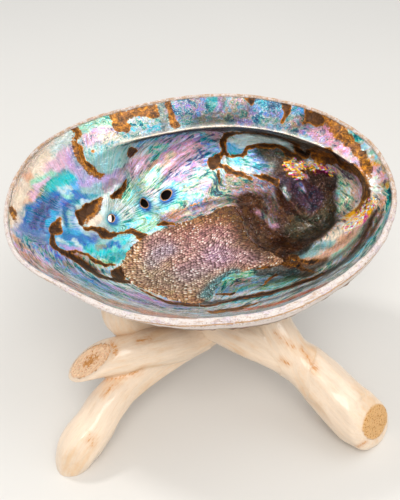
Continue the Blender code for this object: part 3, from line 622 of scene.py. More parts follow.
# Tints of the nacre, laid one over the other: tone, line, half-width and softness in millimetres
TINTS = (
    ("cream", (88, 122, 60, 143, 38, 163, 22, 190, 15, 215, 15, 236), 7.5, 4.5),
    ("pearl", (58, 152, 66, 142, 74, 138), 1.6, 2.4),
    ("cream", (17, 188, 15, 210, 16, 226), 1.2, 2.0),
    ("peach", (28, 176, 36, 190, 30, 206), 1.0, 1.6),
    ("blush", (50, 176, 60, 164, 74, 153), 1.8, 2.2),
    ("mint", (36, 186, 44, 180, 52, 176), 1.2, 1.8),
    ("gold", (36, 200, 44, 190, 52, 184), 0.3, 0.9),
    ("lilac", (78, 160, 84, 172, 76, 182), 2.4, 3.0),
    ("teal", (46, 194, 54, 185, 66, 174), 1.0, 2.0),
    ("teal", (29, 217, 37, 207, 47, 199), 1.4, 2.2),
    ("blush", (32, 196, 40, 186, 48, 180), 0.4, 0.9),
    ("aqua", (54, 190, 62, 182, 72, 180), 1.4, 2.0),
    ("sky", (66, 198, 78, 191, 92, 188), 2.6, 2.0),
    ("teal", (72, 199, 82, 194, 92, 196), 1.2, 1.3),
    ("blue", (68, 201, 76, 196, 86, 198), 0.8, 1.1),
    ("pearl", (59, 189, 63, 192), 0.7, 0.9),
    ("pearl", (66, 187, 70, 190), 0.5, 0.8),
    ("mint", (64, 195, 70, 196), 0.4, 0.8),
    ("blue", (31, 229, 34, 218, 44, 208, 56, 201), 3.0, 2.2),
    ("indigo", (40, 214, 48, 206, 58, 201), 1.0, 1.2),
    ("navy", (33, 228, 38, 214, 48, 205, 58, 202), 0.6, 1.0),
    ("indigo", (46, 232, 48, 218, 54, 210, 62, 206), 1.6, 1.6),
    ("sky", (49, 222, 54, 214, 59, 210), 0.6, 1.0),
    ("navy", (43, 234, 45, 220, 52, 209, 60, 205), 0.25, 0.7),
    ("indigo", (66, 208, 70, 218, 74, 229), 3.2, 1.2),
    ("slate", (66, 212, 68, 224), 0.8, 1.4),
    ("navy", (65, 206, 70, 205, 75, 209), 0.3, 0.7),
    ("blue", (63, 206, 66, 216, 68, 230), 0.3, 0.7),
    ("rust", (68, 254, 84, 259, 98, 269), 1.6, 0.9),
    ("olive", (74, 256, 88, 261, 98, 267), 0.4, 0.6),
    ("sky", (56, 242, 68, 238, 82, 240, 98, 246), 3.6, 2.2),
    ("pearl", (58, 239, 66, 243), 0.4, 0.8),
    ("blue", (64, 235, 74, 238, 84, 244), 0.8, 1.0),
    ("teal", (72, 246, 82, 248, 92, 252), 0.6, 1.0),
    ("pearl", (74, 241, 80, 247), 0.3, 0.7),
    ("blue", (84, 237, 94, 240, 102, 246), 1.0, 1.2),
    ("lilac", (62, 247, 70, 249, 80, 249), 0.5, 0.9),
    ("aqua", (94, 254, 108, 257, 122, 250), 2.6, 2.2),
    ("mint", (100, 248, 106, 244, 112, 246), 0.8, 1.2),
    ("teal", (100, 260, 110, 258, 122, 254), 0.8, 1.2),
    ("slate", (104, 243, 114, 238, 124, 243), 2.0, 1.6),
    ("blue", (104, 248, 114, 243, 120, 246), 0.6, 0.9),
    ("olive", (98, 249, 104, 246), 0.5, 0.8),
    ("mint", (98, 263, 112, 263), 0.8, 1.0),
    ("teal", (102, 270, 112, 273, 122, 272), 0.8, 1.0),
    # painted highlight along the fold beside the brown flame
    ("pearl", (86, 226, 96, 219, 104, 210, 108, 200), 2.4, 2.0),
    ("cream", (90, 224, 98, 218), 0.8, 1.2),
    ("indigo", (24, 236, 42, 246, 62, 262, 95, 283, 140, 299, 185, 307), 3.2, 2.4),
    ("peach", (10, 242, 28, 257, 50, 271, 80, 289, 110, 302, 160, 315, 205, 320), 3.4, 2.0),
    ("blush", (18, 246, 34, 255, 50, 264), 0.5, 0.9),
    ("teal", (26, 240, 40, 248, 54, 258), 0.5, 0.9),
    ("blue", (34, 241, 48, 249, 60, 258), 0.6, 1.0),
    ("sky", (58, 264, 76, 275, 96, 284), 0.5, 0.9),
    ("moss", (56, 260, 63, 262, 72, 266), 1.2, 0.7),
    ("teal", (64, 270, 86, 283, 112, 292, 150, 302), 0.6, 1.0),
    ("lilac", (100, 282, 130, 294, 160, 302), 0.7, 1.2),
    ("slate", (86, 154, 100, 146, 118, 140, 130, 136), 3.0, 2.5),
    ("slate", (100, 168, 112, 160, 122, 148), 5.0, 2.5),
    ("lilac", (86, 186, 102, 183, 118, 176), 1.6, 1.8),
    ("slate", (84, 190, 100, 188), 0.8, 1.4),
    ("mauve", (106, 190, 118, 178, 127, 166), 0.6, 1.2),
    ("mint", (82, 130, 96, 122, 108, 117), 3.0, 2.0),
    ("blush", (88, 140, 99, 133, 112, 130), 1.4, 1.6),
    ("cream", (104, 139, 116, 135), 0.8, 1.2),
    ("slate", (132, 124, 146, 122, 156, 124), 3.0, 1.5),
    ("mauve", (180, 102, 200, 100, 215, 120, 232, 112, 250, 118), 6.0, 4.0),
    ("indigo", (180, 104, 190, 116, 206, 108), 3.0, 2.5),
    ("blue", (188, 110, 197, 112), 1.6, 2.0),
    ("navy", (184, 118, 200, 102), 0.4, 1.2),
    ("teal", (182, 120, 204, 122, 228, 122), 1.0, 1.6),
    ("aqua", (212, 100, 215, 107), 2.2, 1.2),
    ("lilac", (220, 100, 220, 110, 214, 115), 0.8, 1.0),
    ("teal", (238, 107, 242, 112), 1.2, 1.2),
    ("olive", (228, 104, 232, 118, 204, 120), 1.6, 2.2),
    ("indigo", (232, 124, 256, 124, 280, 126), 1.2, 1.8),
    ("sky", (258, 102, 266, 110, 276, 118), 3.5, 2.6),
    ("blue", (256, 116, 270, 120, 278, 112), 0.8, 1.6),
    ("indigo", (270, 104, 276, 120), 0.8, 1.6),
    ("teal", (298, 126, 312, 134, 326, 140), 1.0, 1.6),
    ("coral", (328, 128, 338, 140, 346, 148), 1.2, 2.0),
    ("lilac", (290, 126, 304, 130), 0.8, 1.4),
    ("slate", (262, 120, 280, 124, 296, 128), 1.2, 1.4),
    ("sky", (297, 110, 301, 115), 1.8, 1.4),
    ("umber", (292, 124, 308, 120, 322, 122), 1.0, 1.6),
    ("blush", (320, 132, 336, 138, 350, 152, 362, 166), 2.4, 2.4),
    ("pearl", (346, 128, 362, 144, 378, 166), 2.4, 2.6),
    ("aqua", (352, 132, 360, 140), 0.8, 1.4),
    ("aqua", (372, 154, 378, 166), 0.8, 1.4),
    ("gold", (370, 166, 378, 176, 382, 188), 1.6, 2.6),
    ("blush", (374, 168, 384, 180), 1.0, 1.4),
    ("teal", (374, 184, 380, 192, 388, 190), 0.8, 1.4),
    ("cream", (373, 178, 377, 194, 370, 214), 1.2, 1.8),
    ("peach", (384, 202, 380, 216, 372, 232), 1.2, 2.0),
    ("aqua", (390, 196, 386, 218, 372, 240, 350, 262), 0.6, 1.4),
    ("blush", (138, 172, 160, 158, 185, 146, 210, 138), 3.4, 3.0),
    ("lilac", (172, 152, 188, 144, 206, 138), 0.8, 1.6),
    ("teal", (136, 148, 150, 139, 172, 134, 196, 131), 1.4, 1.4),
    ("aqua", (150, 151, 166, 142, 186, 137, 204, 134), 0.8, 1.1),
    ("aqua", (152, 160, 160, 152, 168, 146), 0.6, 0.9),
    ("lilac", (140, 150, 156, 143, 178, 139, 198, 136), 0.6, 0.9),
    ("sky", (140, 143, 158, 137, 180, 134), 0.7, 1.0),
    ("pearl", (136, 153, 148, 147, 158, 143), 0.6, 0.8),
    ("blush", (146, 184, 170, 168, 196, 152), 3.0, 2.6),
    ("cream", (150, 176, 160, 166, 172, 156), 0.6, 1.0),
    ("lilac", (172, 182, 190, 170, 206, 156), 2.0, 2.6),
    ("peach", (148, 170, 156, 160), 0.4, 0.7),
    ("mint", (128, 196, 142, 184, 156, 176), 2.0, 2.4),
    ("mint", (178, 192, 194, 186, 208, 180), 2.0, 2.4),
    ("blush", (190, 196, 206, 188, 216, 180), 1.2, 2.0),
    ("sky", (206, 140, 214, 148, 212, 158), 1.8, 1.6),
    ("slate", (206, 172, 216, 174, 228, 180), 2.0, 2.6),
    ("coral", (228, 176, 240, 181, 256, 184), 0.5, 1.0),
    ("aqua", (122, 232, 150, 222, 176, 212, 200, 200), 2.4, 3.0),
    ("mint", (140, 226, 166, 216, 190, 206), 1.4, 2.0),
    ("mauve", (168, 221, 195, 210, 225, 202, 250, 204), 1.8, 2.2),
    ("peach", (174, 216, 190, 210), 0.8, 1.2),
    ("mauve", (196, 206, 208, 202), 1.0, 1.6),
    ("sky", (228, 148, 236, 150, 242, 142), 1.6, 1.4),
    ("pearl", (240, 142, 256, 140, 276, 143), 1.8, 1.4),
    ("moss", (262, 156, 272, 150, 284, 154), 2.4, 2.0),
    ("sky", (250, 154, 256, 162, 262, 166), 1.8, 1.6),
    ("aqua", (230, 161, 243, 161), 1.6, 1.2),
    ("olive", (224, 193, 245, 189, 268, 190), 4.5, 3.0),
    ("moss", (226, 188, 246, 185, 262, 189), 1.6, 1.8),
    ("plum", (258, 200, 276, 206, 290, 222, 300, 244), 7.0, 4.0),
    ("plum", (290, 190, 310, 200, 324, 214), 10.0, 4.0),
    ("navy", (290, 180, 304, 190, 312, 200), 2.0, 3.0),
    ("olive", (300, 226, 318, 226, 330, 212), 3.0, 4.0),
    ("fuchsia", (316, 172, 328, 174), 0.3, 0.9),
    ("umber", (248, 203, 254, 224, 266, 242, 288, 254), 4.5, 3.5),
    ("blush", (258, 212, 268, 220, 274, 226), 0.6, 1.0),
    ("moss", (264, 216, 272, 222), 0.8, 1.0),
    # painted glints at the top of the hollow, under the flat lip
    ("gold", (288, 164, 296, 168, 290, 172), 1.0, 0.8),
    ("pearl", (300, 164, 306, 162), 0.9, 0.6),
    ("coral", (296, 172, 304, 176), 0.7, 0.7),
    ("gold", (310, 167, 321, 165), 0.9, 0.8),
    ("fuchsia", (322, 166, 334, 171), 0.8, 0.9),
    ("pearl", (284, 187, 288, 196), 0.6, 0.7),
    ("blush", (344, 172, 354, 180, 358, 194, 354, 208), 3.0, 3.0),
    ("cream", (343, 176, 351, 188, 349, 206), 2.0, 2.4),
    ("mint", (340, 180, 342, 196, 340, 210), 0.4, 1.2),
    ("mint", (348, 184, 350, 200, 346, 212), 0.3, 0.8),
    ("cream", (316, 246, 338, 232, 352, 216, 362, 206), 3.0, 3.0),
    # painted highlights on the right wall
    ("gold", (352, 214, 362, 216, 368, 210), 1.6, 2.0),
    ("cream", (352, 220, 362, 222), 1.4, 1.4),
    ("fuchsia", (358, 228, 364, 222, 366, 214), 0.3, 0.6),
    ("peach", (296, 262, 322, 256, 346, 240, 362, 232), 2.4, 2.6),
    ("slate", (298, 256, 312, 252, 330, 244), 1.0, 1.6),
    ("mint", (334, 256, 346, 246, 358, 236), 0.4, 0.9),
    ("teal", (222, 290, 246, 284, 272, 280, 290, 276), 2.6, 2.6),
    ("aqua", (228, 278, 240, 274, 252, 272), 0.8, 1.4),
    ("aqua", (268, 292, 284, 284, 296, 278), 0.9, 1.4),
    ("umber", (232, 284, 248, 280), 0.6, 1.0),
    ("olive", (300, 278, 330, 264, 352, 246, 372, 222), 2.0, 2.4),
    ("umber", (235, 300, 290, 287, 318, 276, 340, 262, 362, 240, 375, 212), 1.0, 1.2),
    ("emerald", (222, 281, 236, 277, 250, 273), 0.9, 1.2),
    ("emerald", (266, 287, 280, 281, 294, 279), 1.2, 1.2),
    ("emerald", (236, 289, 252, 286), 0.5, 0.9),
    ("slate", (298, 254, 308, 250, 320, 246), 2.0, 1.6),
    ("slate", (330, 270, 352, 256, 372, 236), 0.8, 1.2),
    ("peach", (236, 311, 262, 307, 290, 299, 330, 282), 1.6, 1.4),
    ("coral", (246, 309, 270, 305, 296, 297, 312, 290), 0.7, 1.0),
    ("aqua", (190, 307, 225, 304, 255, 299, 285, 291), 0.5, 1.1),
)
# Dark washes over the tints, painted shade under the flat lip's overhang and in the hollow, the nacre's own dark lines
# elsewhere: line, half-width, softness, strength; less than none takes the dark away under the painted glints
SHADES = (
    ((190, 112, 230, 114, 270, 116, 300, 122), 5.0, 4.0, 0.38),
    ((166, 222, 190, 212, 215, 204, 240, 200), 1.4, 1.8, 0.45),
    ((224, 190, 250, 186, 272, 192), 3.5, 3.0, 0.2),
    ((248, 203, 253, 224, 264, 241, 280, 251), 3.2, 3.2, 0.86),
    ((276, 176, 300, 176, 326, 178, 330, 200), 3.0, 3.0, 0.55),
    ((178, 304, 235, 300, 290, 287, 330, 271), 1.3, 1.1, 0.95),
    ((330, 271, 345, 260, 362, 240, 375, 212), 0.5, 0.9, 0.85),
    ((316, 268, 338, 256, 358, 238, 369, 218), 0.4, 0.9, 0.5),
    ((262, 271, 276, 270, 290, 271, 308, 273), 2.8, 1.2, 1.0),
    ((262, 302, 290, 293, 320, 279, 345, 262, 368, 238, 382, 212), 0.5, 0.9, 0.6),
    ((226, 286, 258, 284, 290, 276), 2.4, 2.4, 0.35),
    ((316, 248, 336, 246, 352, 232), 0.4, 1.2, 0.4),
    ((140, 300, 180, 312, 230, 309), 0.4, 0.8, 0.35),
    ((262, 206, 270, 222, 280, 240, 292, 250), 4.0, 4.0, 0.76),
    # painted shadow under the crest of the flat lip and into the top of the hollow
    ((136, 142, 160, 134, 200, 130, 240, 130), 0.3, 0.6, 0.8),
    ((244, 131, 279, 137, 308, 146, 330, 155, 342, 163), 1.2, 1.4, 0.95),
    ((300, 150, 322, 152, 342, 162), 2.6, 2.2, 0.85),
    ((264, 153, 284, 156, 300, 160), 2.6, 2.2, 0.82),
    ((282, 170, 300, 172, 318, 168), 2.5, 2.0, 0.85),
    ((262, 268, 282, 266, 302, 266, 322, 262), 1.6, 1.8, 0.85),
    ((286, 252, 292, 262), 2.0, 2.0, 0.8),
    ((196, 120, 226, 120, 250, 108), 1.0, 2.0, 0.45),
    ((68, 255, 84, 262, 98, 272), 0.9, 1.0, 0.6),
    ((161, 104, 165, 128), 1.8, 0.8, 0.6),
    ((335, 270, 352, 258, 368, 240, 380, 218), 0.3, 0.6, 0.5),
    ((268, 282, 290, 278, 306, 272), 1.0, 1.2, 0.6),
    ((292, 292, 322, 280, 348, 266), 0.5, 0.9, 0.5),
    ((306, 118, 322, 130, 336, 142), 1.5, 3.0, 0.25),
    # painted shadow under the left of the crest
    ((136, 140, 160, 134, 196, 130), 0.8, 1.2, 0.4),
    ((310, 118, 324, 124), 2.0, 2.0, 0.5),
    # the next five take the painted shade away under the painted glints
    ((290, 165, 298, 168, 306, 163, 320, 165), 0.8, 0.7, -1.0),
    ((296, 172, 304, 176), 0.6, 0.6, -1.0),
    ((322, 166, 334, 171), 0.6, 0.7, -0.9),
    ((284, 187, 287, 195), 0.25, 0.4, -0.9),
    ((298, 182, 304, 190), 0.4, 0.6, -0.5),
    ((258, 212, 268, 220, 274, 226), 0.5, 1.0, -0.25),
)
# Places with painted flashes of every colour, highlights put into the base colour: line, half-width and softness
GLINTS = (
    ((286, 166, 298, 165, 312, 166, 332, 171), 0.9, 1.0),
    ((292, 172, 302, 175), 0.9, 0.9),
    ((350, 226, 360, 216, 369, 204), 2.2, 1.6),
)
SCAR_TINTS = (
    ("peach", (128, 268, 140, 256, 150, 250), 4.0, 5.0, 0.4),
    ("lilac", (186, 272, 200, 266, 216, 262), 2.0, 5.0, 0.3),
    ("coral", (190, 236, 210, 228, 232, 222), 2.0, 5.0, 0.14),
    ("slate", (150, 276, 180, 284, 200, 280), 3.0, 5.0, 0.22),
    ("lilac", (160, 246, 190, 240, 220, 238), 3.0, 5.0, 0.25),
    ("sky", (152, 262, 160, 254, 168, 250), 1.0, 3.0, 0.22),
    ("lilac", (215, 256, 230, 256, 255, 258), 1.5, 4.0, 0.3),
    ("teal", (206, 296, 218, 284, 234, 274), 1.5, 2.0, 0.75),
    ("rust", (176, 232, 204, 220, 236, 212), 1.5, 4.0, 0.35),
    ("umber", (238, 208, 246, 232, 264, 250), 2.0, 4.5, 0.85),
    ("umber", (210, 214, 234, 208), 1.0, 2.4, 0.6),
)


def paint(places, sketch, tones, tints, base):
    """Colours of places: each tint covers what is under it, most along its line and less over its softness."""
    colour = np.tile(np.array(base), (len(places), 1))
    for tone, pixels, wide, soft in tints:
        cover = TINT_STRENGTH * cover_of(places, sketch.line(pixels), wide, soft, 3)
        colour = colour + cover[:, None] * (np.array(tones[tone]) - colour)
    return colour


def dark_and_shade_of(places, sketch):
    """How dark each place is, from 0 to 1: painted shade in the hollow over its dark colour, then each dark wash in
    turn, painted shade under the flat lip and dark lines of the nacre.
    """
    dark = smooth_step(-away_from_area(places, sketch.line(HOLLOW, True)), -1.2, 2.0) * 0.86
    for pixels, wide, soft, strength in SHADES:
        cover = abs(strength) * cover_of(places, sketch.line(pixels), wide, soft)
        dark += cover * ((1.0 if strength > 0 else 0.0) - dark)
    return dark


def relief(places, sketch):
    """Height in millimetres of the folds, hollows and blisters of the inside, over slow swells of the whole wall."""
    height = uneven(places, WALL_WAVES)
    for kind, pixels, soft, tall in RELIEF:
        line = sketch.line(pixels, kind == "area")
        if kind == "area":
            height += tall * (1.0 - smooth_step(away_from_area(places, line), -soft, 0.3))
        else:
            height += tall * np.exp(-((away_from_line(places, line) / soft) ** 2))
    return height


def rim_wear(points):
    """Uneven edge in millimetres: slow waves, small scallops and a few chips, less where the lip is thin."""
    places = points[..., :2]
    chips = CHIP_DEPTH * np.maximum(ripple(places, *CHIP_WAVE) - CHIP_SPARE, 0.0)
    thick = 0.4 + 0.6 * (0.5 + 0.5 * np.cos(np.arctan2(places[..., 1], places[..., 0]) - LIP_THICK_AT)) ** 2
    return (uneven(places, RIM_WAVES) - chips) * thick


def lip_surface(angle, start, end):
    """Half an oval from the rim's inner edge to its outer edge, bulging up square to the straight way between them."""
    t = np.linspace(0.0, 1.0, LIP_ROWS + 2)[None, 1:-1, None]
    radial = np.stack([np.cos(angle), np.sin(angle), np.zeros_like(angle)], axis=-1)
    step = end - start
    run = (step * radial).sum(-1, keepdims=True)
    square = unit(np.concatenate([-step[:, 2:3] * radial[:, :2], run], axis=1))
    bulge = LIP_BULGE[0] + LIP_BULGE[1] * lip_width(angle)[:, None, None]
    across = 0.5 - 0.5 * np.cos(math.pi * t)
    return start[:, None] + across * step[:, None] + bulge * np.sin(math.pi * t) * square[:, None]


def outer_surface(angle, rows):
    """Points from the edge of the lip to the apex: each row is the rim drawn in towards the apex."""
    angle = angle[:, None]
    reach = rim_radius(angle) + lip_width(angle)
    run = np.linspace(0.0, 1.0, rows + 1)[None, :]
    share = 1.0 - run**0.85
    x = APEX[0] + share * (MIDDLE[0] + reach * np.cos(angle) - APEX[0])
    y = APEX[1] + share * (MIDDLE[1] + reach * np.sin(angle) - APEX[1])
    return np.stack([x, y, outer_height(x, y)], axis=-1)


def hole_line(x, y, z, lean):
    """Direction of an open hole, which leans towards the narrow end, and the point where it comes out."""
    along = outward(np.array(x), np.array(y)) + np.array([-lean, 0.0, 0.0])
    along /= np.linalg.norm(along)
    reach = np.arange(0.0, 15.0, 0.1)[:, None]
    way = np.array([x, y, z]) + reach * along
    out = np.argmax(way[:, 2] < outer_height(way[:, 0], way[:, 1]))
    return along, way[out]


def hole_sides(along):
    """Two directions square to a hole's middle line."""
    side = np.cross(along, (0.0, 1.0, 0.0))
    side /= np.linalg.norm(side)
    return side, np.cross(side, along)


def past_hole(step, along, wide, tall):
    """How far points lie outside a hole's oval wall, from their steps away from its middle line."""
    side, other = hole_sides(along)
    size = 0.5 * (wide + tall)
    return np.hypot(step @ side * size / wide, step @ other * size / tall) - size


def outer_relief(points, run, reach):
    """Height in millimetres of the outside: growth lines along the rows, low cords across them, crust and collars."""
    steps = run * GROWTH_LINES + 0.8 * ripple(points, 30.0, 21)
    lines = (1.0 - np.abs(np.sin(math.pi * steps))) ** 1.5 * (0.75 + 0.35 * ripple(points, 12.0, 22))
    turned = np.arctan2(points[..., 1] - APEX[1], points[..., 0] - APEX[0])
    cords = np.sin(CORDS * turned + CORD_TWIST * run)
    height = 0.45 * lines + 0.14 * cords + uneven(points, CRUST_WAVES)
    height += 0.5 * np.maximum(ripple(points, 3.4, 25) - 0.35, 0.0)
    turn = np.linspace(0.0, COIL_TURNS, 40)
    far = COIL_RADIUS[0] + COIL_RADIUS[1] * turn ** COIL_RADIUS[2]
    turned = TURN * turn + COIL_START
    coil = np.stack([APEX[0] + far * np.cos(turned), APEX[1] + far * np.sin(turned)], axis=-1)
    groove = away_from_line(points[..., :2].reshape(-1, 2), coil).reshape(points.shape[:2])
    height -= 1.0 * np.exp(-((groove / 1.5) ** 2))
    height = height * (0.2 * smooth_step(reach, 1.5, 5.0) + 0.8 * smooth_step(reach, 6.0, 16.0))
    marks = [(*hole_line(x, y, z, lean)[1][:2], wide, 1.3) for x, y, z, lean, wide, _ in OPEN_HOLES]
    marks += [(x, y, size, 1.1) for x, y, size in HEALED_HOLES]
    for x, y, size, tall in marks:
        away = np.linalg.norm(points - np.array([x, y, float(outer_height(np.array(x), np.array(y)))]), axis=-1)
        height += tall * (np.exp(-((away / (size + 1.8)) ** 4)) - 0.7 * np.exp(-((away / (0.7 * size)) ** 2)))
    return height


def grid_quads(shape):
    """Quads between the points of an open grid."""
    number = np.arange(math.prod(shape)).reshape(shape)
    return np.stack([number[:-1, :-1], number[1:, :-1], number[1:, 1:], number[:-1, 1:]], axis=-1).reshape(-1, 4)


def ring_faces(rings, around):
    """Quads between closed rings of one length, and triangles to a last point at each end, facing outwards."""
    row, side = np.meshgrid(np.arange(rings - 1), np.arange(around), indexing="ij")
    here, there = row * around, (row + 1) * around
    beside = (side + 1) % around
    quads = np.stack([here + side, there + side, there + beside, here + beside], -1).reshape(-1, 4)
    side = np.arange(around)
    beside = (side + 1) % around
    low = np.stack([side, beside, np.full(around, rings * around)], -1)
    top = (rings - 1) * around
    high = np.stack([top + beside, top + side, np.full(around, rings * around + 1)], -1)
    return quads, np.concatenate([low, high])


def new_piece(name, points, quads, triangles=()):
    """A mesh object from points in metres and faces as arrays, smooth shaded."""
    mesh = bpy.data.meshes.new(name)
    quads = np.asarray(quads).reshape(-1, 4)
    triangles = np.asarray(triangles, int).reshape(-1, 3)
    corners = np.concatenate([quads.ravel(), triangles.ravel()])
    starts = np.concatenate([np.arange(len(quads)) * 4, len(quads) * 4 + np.arange(len(triangles)) * 3])
    mesh.vertices.add(len(points))
    mesh.vertices.foreach_set("co", np.ascontiguousarray(points, np.float32).ravel())
    mesh.loops.add(len(corners))
    mesh.loops.foreach_set("vertex_index", corners.astype(np.int32))
    mesh.polygons.add(len(starts))
    mesh.polygons.foreach_set("loop_start", starts.astype(np.int32))
    mesh.update(calc_edges=True)
    mesh.validate()
    mesh.shade_smooth()
    piece = bpy.data.objects.new(name, mesh)
    bpy.context.scene.collection.objects.link(piece)
    return piece


def applied(piece):
    """Makes the piece's modifiers part of its mesh."""
    graph = bpy.context.evaluated_depsgraph_get()
    mesh = bpy.data.meshes.new_from_object(piece.evaluated_get(graph))
    piece.modifiers.clear()
    piece.data = mesh


def read(items, name, per=1, kind=np.int32):
    """One property of all the items, with a row for each where it has several numbers."""
    flat = np.empty(len(items) * per, kind)
    items.foreach_get(name, flat)
    return flat if per == 1 else flat.reshape(-1, per)


def vertex_points(piece):
    """The piece's vertices as an array, in metres."""
    return read(piece.data.vertices, "co", 3, np.float32).astype(float)


def set_points(piece, points):
    """Moves the piece's vertices."""
    piece.data.vertices.foreach_set("co", np.ascontiguousarray(points, np.float32).ravel())
    piece.data.update()


def add_numbers(piece, name, values, kind="FLOAT", part="value"):
    """Stores a number, or with another kind a vector, on every vertex for the material."""
    layer = piece.data.attributes.new(name, kind, "POINT")
    layer.data.foreach_set(part, np.ascontiguousarray(values, np.float32).ravel())


def add_colours(piece, name, values):
    """Stores a colour on every vertex for the material."""
    layer = piece.data.color_attributes.new(name, "FLOAT_COLOR", "POINT")
    full = np.concatenate([values, np.ones((len(values), 1))], axis=1)
    layer.data.foreach_set("color", np.ascontiguousarray(full, np.float32).ravel())


def add_uv(piece, name, places):
    """Stores places of the vertices as a UV map."""
    corners = read(piece.data.loops, "vertex_index")
    layer = piece.data.uv_layers.new(name=name)
    layer.data.foreach_set("uv", np.ascontiguousarray(places[corners], np.float32).ravel())


def linear(colour):
    """Linear light values of a colour that is given as it looks on a screen."""
    shown = np.array(colour[:3])
    return np.where(shown <= 0.04045, shown / 12.92, ((shown + 0.055) / 1.055) ** 2.4)


def tones_of(group):
    """The group's colours by name, as linear light values."""
    names = [name for name in type(group).__annotations__ if len(np.shape(getattr(group, name))) == 1]
    return {name: linear(getattr(group, name)) for name in names}


class Value:
    """A number that varies over a surface, in a finish: sums and products of it add Math nodes."""

    def __init__(self, finish, socket):
        self.finish = finish
        self.socket = socket

    def maths(self, operation, *others, first=None):
        """A Math node on this value and others; with first given, that comes before this value."""
        sockets = [self, *others] if first is None else [first, self]
        made = self.finish.node("ShaderNodeMath", {"operation": operation}, dict(enumerate(sockets)))
        return Value(self.finish, made.outputs[0])

    def __add__(self, other):
        return self.maths("ADD", other)

    __radd__ = __add__

    def __sub__(self, other):
        return self.maths("SUBTRACT", other)

    def __rsub__(self, other):
        return self.maths("SUBTRACT", first=other)

    def __mul__(self, other):
        return self.maths("MULTIPLY", other)

    __rmul__ = __mul__

    def least(self, other):
        return self.maths("MINIMUM", other)

    def most(self, other):
        return self.maths("MAXIMUM", other)

    def step(self, low, high):
        """0 below low, 1 above high, and a smooth cubic between; the other way round where low is the larger."""
        ends = {"Value": self, "From Min": low, "From Max": high}
        made = self.finish.node("ShaderNodeMapRange", {"interpolation_type": "SMOOTHSTEP"}, ends)
        return Value(self.finish, made.outputs[0])


class Finish:
    """A material with one Principled shader, and the means to add its nodes."""

    def __init__(self, name):
        self.material = bpy.data.materials.new(name)
        self.material.use_nodes = True
        self.tree = self.material.node_tree
        self.shader = self.tree.nodes["Principled BSDF"]
        self.normal = None

    def node(self, kind, settings=None, sockets=None):
        """Adds a node: its settings first, a ramp's stops among them, then values or links of its sockets."""
        made = self.tree.nodes.new(kind)
        for name, value in (settings or {}).items():
            if name == "stops":
                while len(made.color_ramp.elements) < len(value):
                    made.color_ramp.elements.new(1.0)
                for element, (place, colour) in zip(made.color_ramp.elements, value):
                    element.position = place
                    element.color = (*colour, 1.0)
            else:
                setattr(made, name, value)
        for key, value in (sockets or {}).items():
            self.plug(made.inputs[key], value)
        return made

    def plug(self, socket, value):
        """Links or sets one socket."""
        if isinstance(value, Value):
            self.tree.links.new(value.socket, socket)
        elif isinstance(value, bpy.types.NodeSocket):
            self.tree.links.new(value, socket)
        elif np.ndim(value) == 1 and socket.type == "RGBA":
            socket.default_value = (*value[:3], 1.0)
        else:
            socket.default_value = value

    def number(self, name):
        """A number stored on the vertices."""
        return Value(self, self.stored(name, "Fac"))

    def stored(self, name, output="Vector"):
        """A vector or colour stored on the vertices."""
        return self.node("ShaderNodeAttribute", {"attribute_name": name}).outputs[output]

    def place(self):
        """Place on the object, in millimetres."""
        return self.vector("SCALE", self.node("ShaderNodeTexCoord").outputs["Object"], scale=1.0 / MM)

    def vector(self, operation, first, second=None, scale=None):
        """A Vector Math node."""
        sockets = {0: first}
        if second is not None:
            sockets[1] = second
        if scale is not None:
            sockets["Scale"] = scale
        made = self.node("ShaderNodeVectorMath", {"operation": operation}, sockets)
        return made.outputs["Value" if operation in ("DISTANCE", "DOT_PRODUCT") else "Vector"]

    def streaks(self, place, flow, across, along, detail=4.0, rough=0.62):
        """Noise drawn out along the lines of equal flow: so many cells across for one of flow, and along, per unit."""
        lift = self.node("ShaderNodeCombineXYZ", {}, {"Z": flow * across}).outputs[0]
        drawn = self.vector("ADD", self.vector("SCALE", place, scale=along), lift)
        return self.noise(drawn, 1.0, detail, rough, 0.4)

    def noise(self, place, scale, detail=2.0, rough=0.5, bend=0.0):
        """Noise of about 0 to 1, with its size as cells per unit."""
        made = self.node("ShaderNodeTexNoise", {}, {
            "Vector": place, "Scale": scale, "Detail": detail, "Roughness": rough, "Distortion": bend,
        })
        return Value(self, made.outputs["Fac"])

    def cells(self, place, scale):
        """Distance to the nearest of scattered points."""
        made = self.node("ShaderNodeTexVoronoi", {"feature": "F1"}, {"Vector": place, "Scale": scale})
        return Value(self, made.outputs["Distance"])

    def mix(self, share, first, second):
        """One colour over another."""
        return self.node("ShaderNodeMix", {"data_type": "RGBA"}, {0: share, 6: first, 7: second}).outputs[2]

    def ramp(self, value, stops):
        """A colour for each value, evenly between the stops."""
        return self.node("ShaderNodeValToRGB", {"stops": stops}, {0: value}).outputs[0]

    def tuned(self, colour, hue=0.5, strength=1.0, light=1.0):
        """A colour with its hue turned, and made stronger or lighter."""
        made = self.node("ShaderNodeHueSaturation", {}, {
            "Hue": hue, "Saturation": strength, "Value": light, "Color": colour,
        })
        return made.outputs[0]

    def bump(self, height, depth):
        """Adds fine relief, depth in millimetres for a height of one."""
        sockets = {"Height": height, "Distance": depth * MM, "Strength": 1.0}
        if self.normal is not None:
            sockets["Normal"] = self.normal
        self.normal = self.node("ShaderNodeBump", {}, sockets).outputs[0]

    def done(self, **sockets):
        """Sets the shader's sockets by name and returns the material."""
        if self.normal is not None:
            sockets["Normal"] = self.normal
        for name, value in sockets.items():
            self.plug(self.shader.inputs[name.replace("_", " ")], value)
        return self.material


def colour_of(name, description, default):
    """A colour that a user may change, given as it looks on a screen."""
    return FloatVectorProperty(
        name=name, description=description, subtype="COLOR_GAMMA", size=3, min=0.0, max=1.0, default=default
    )


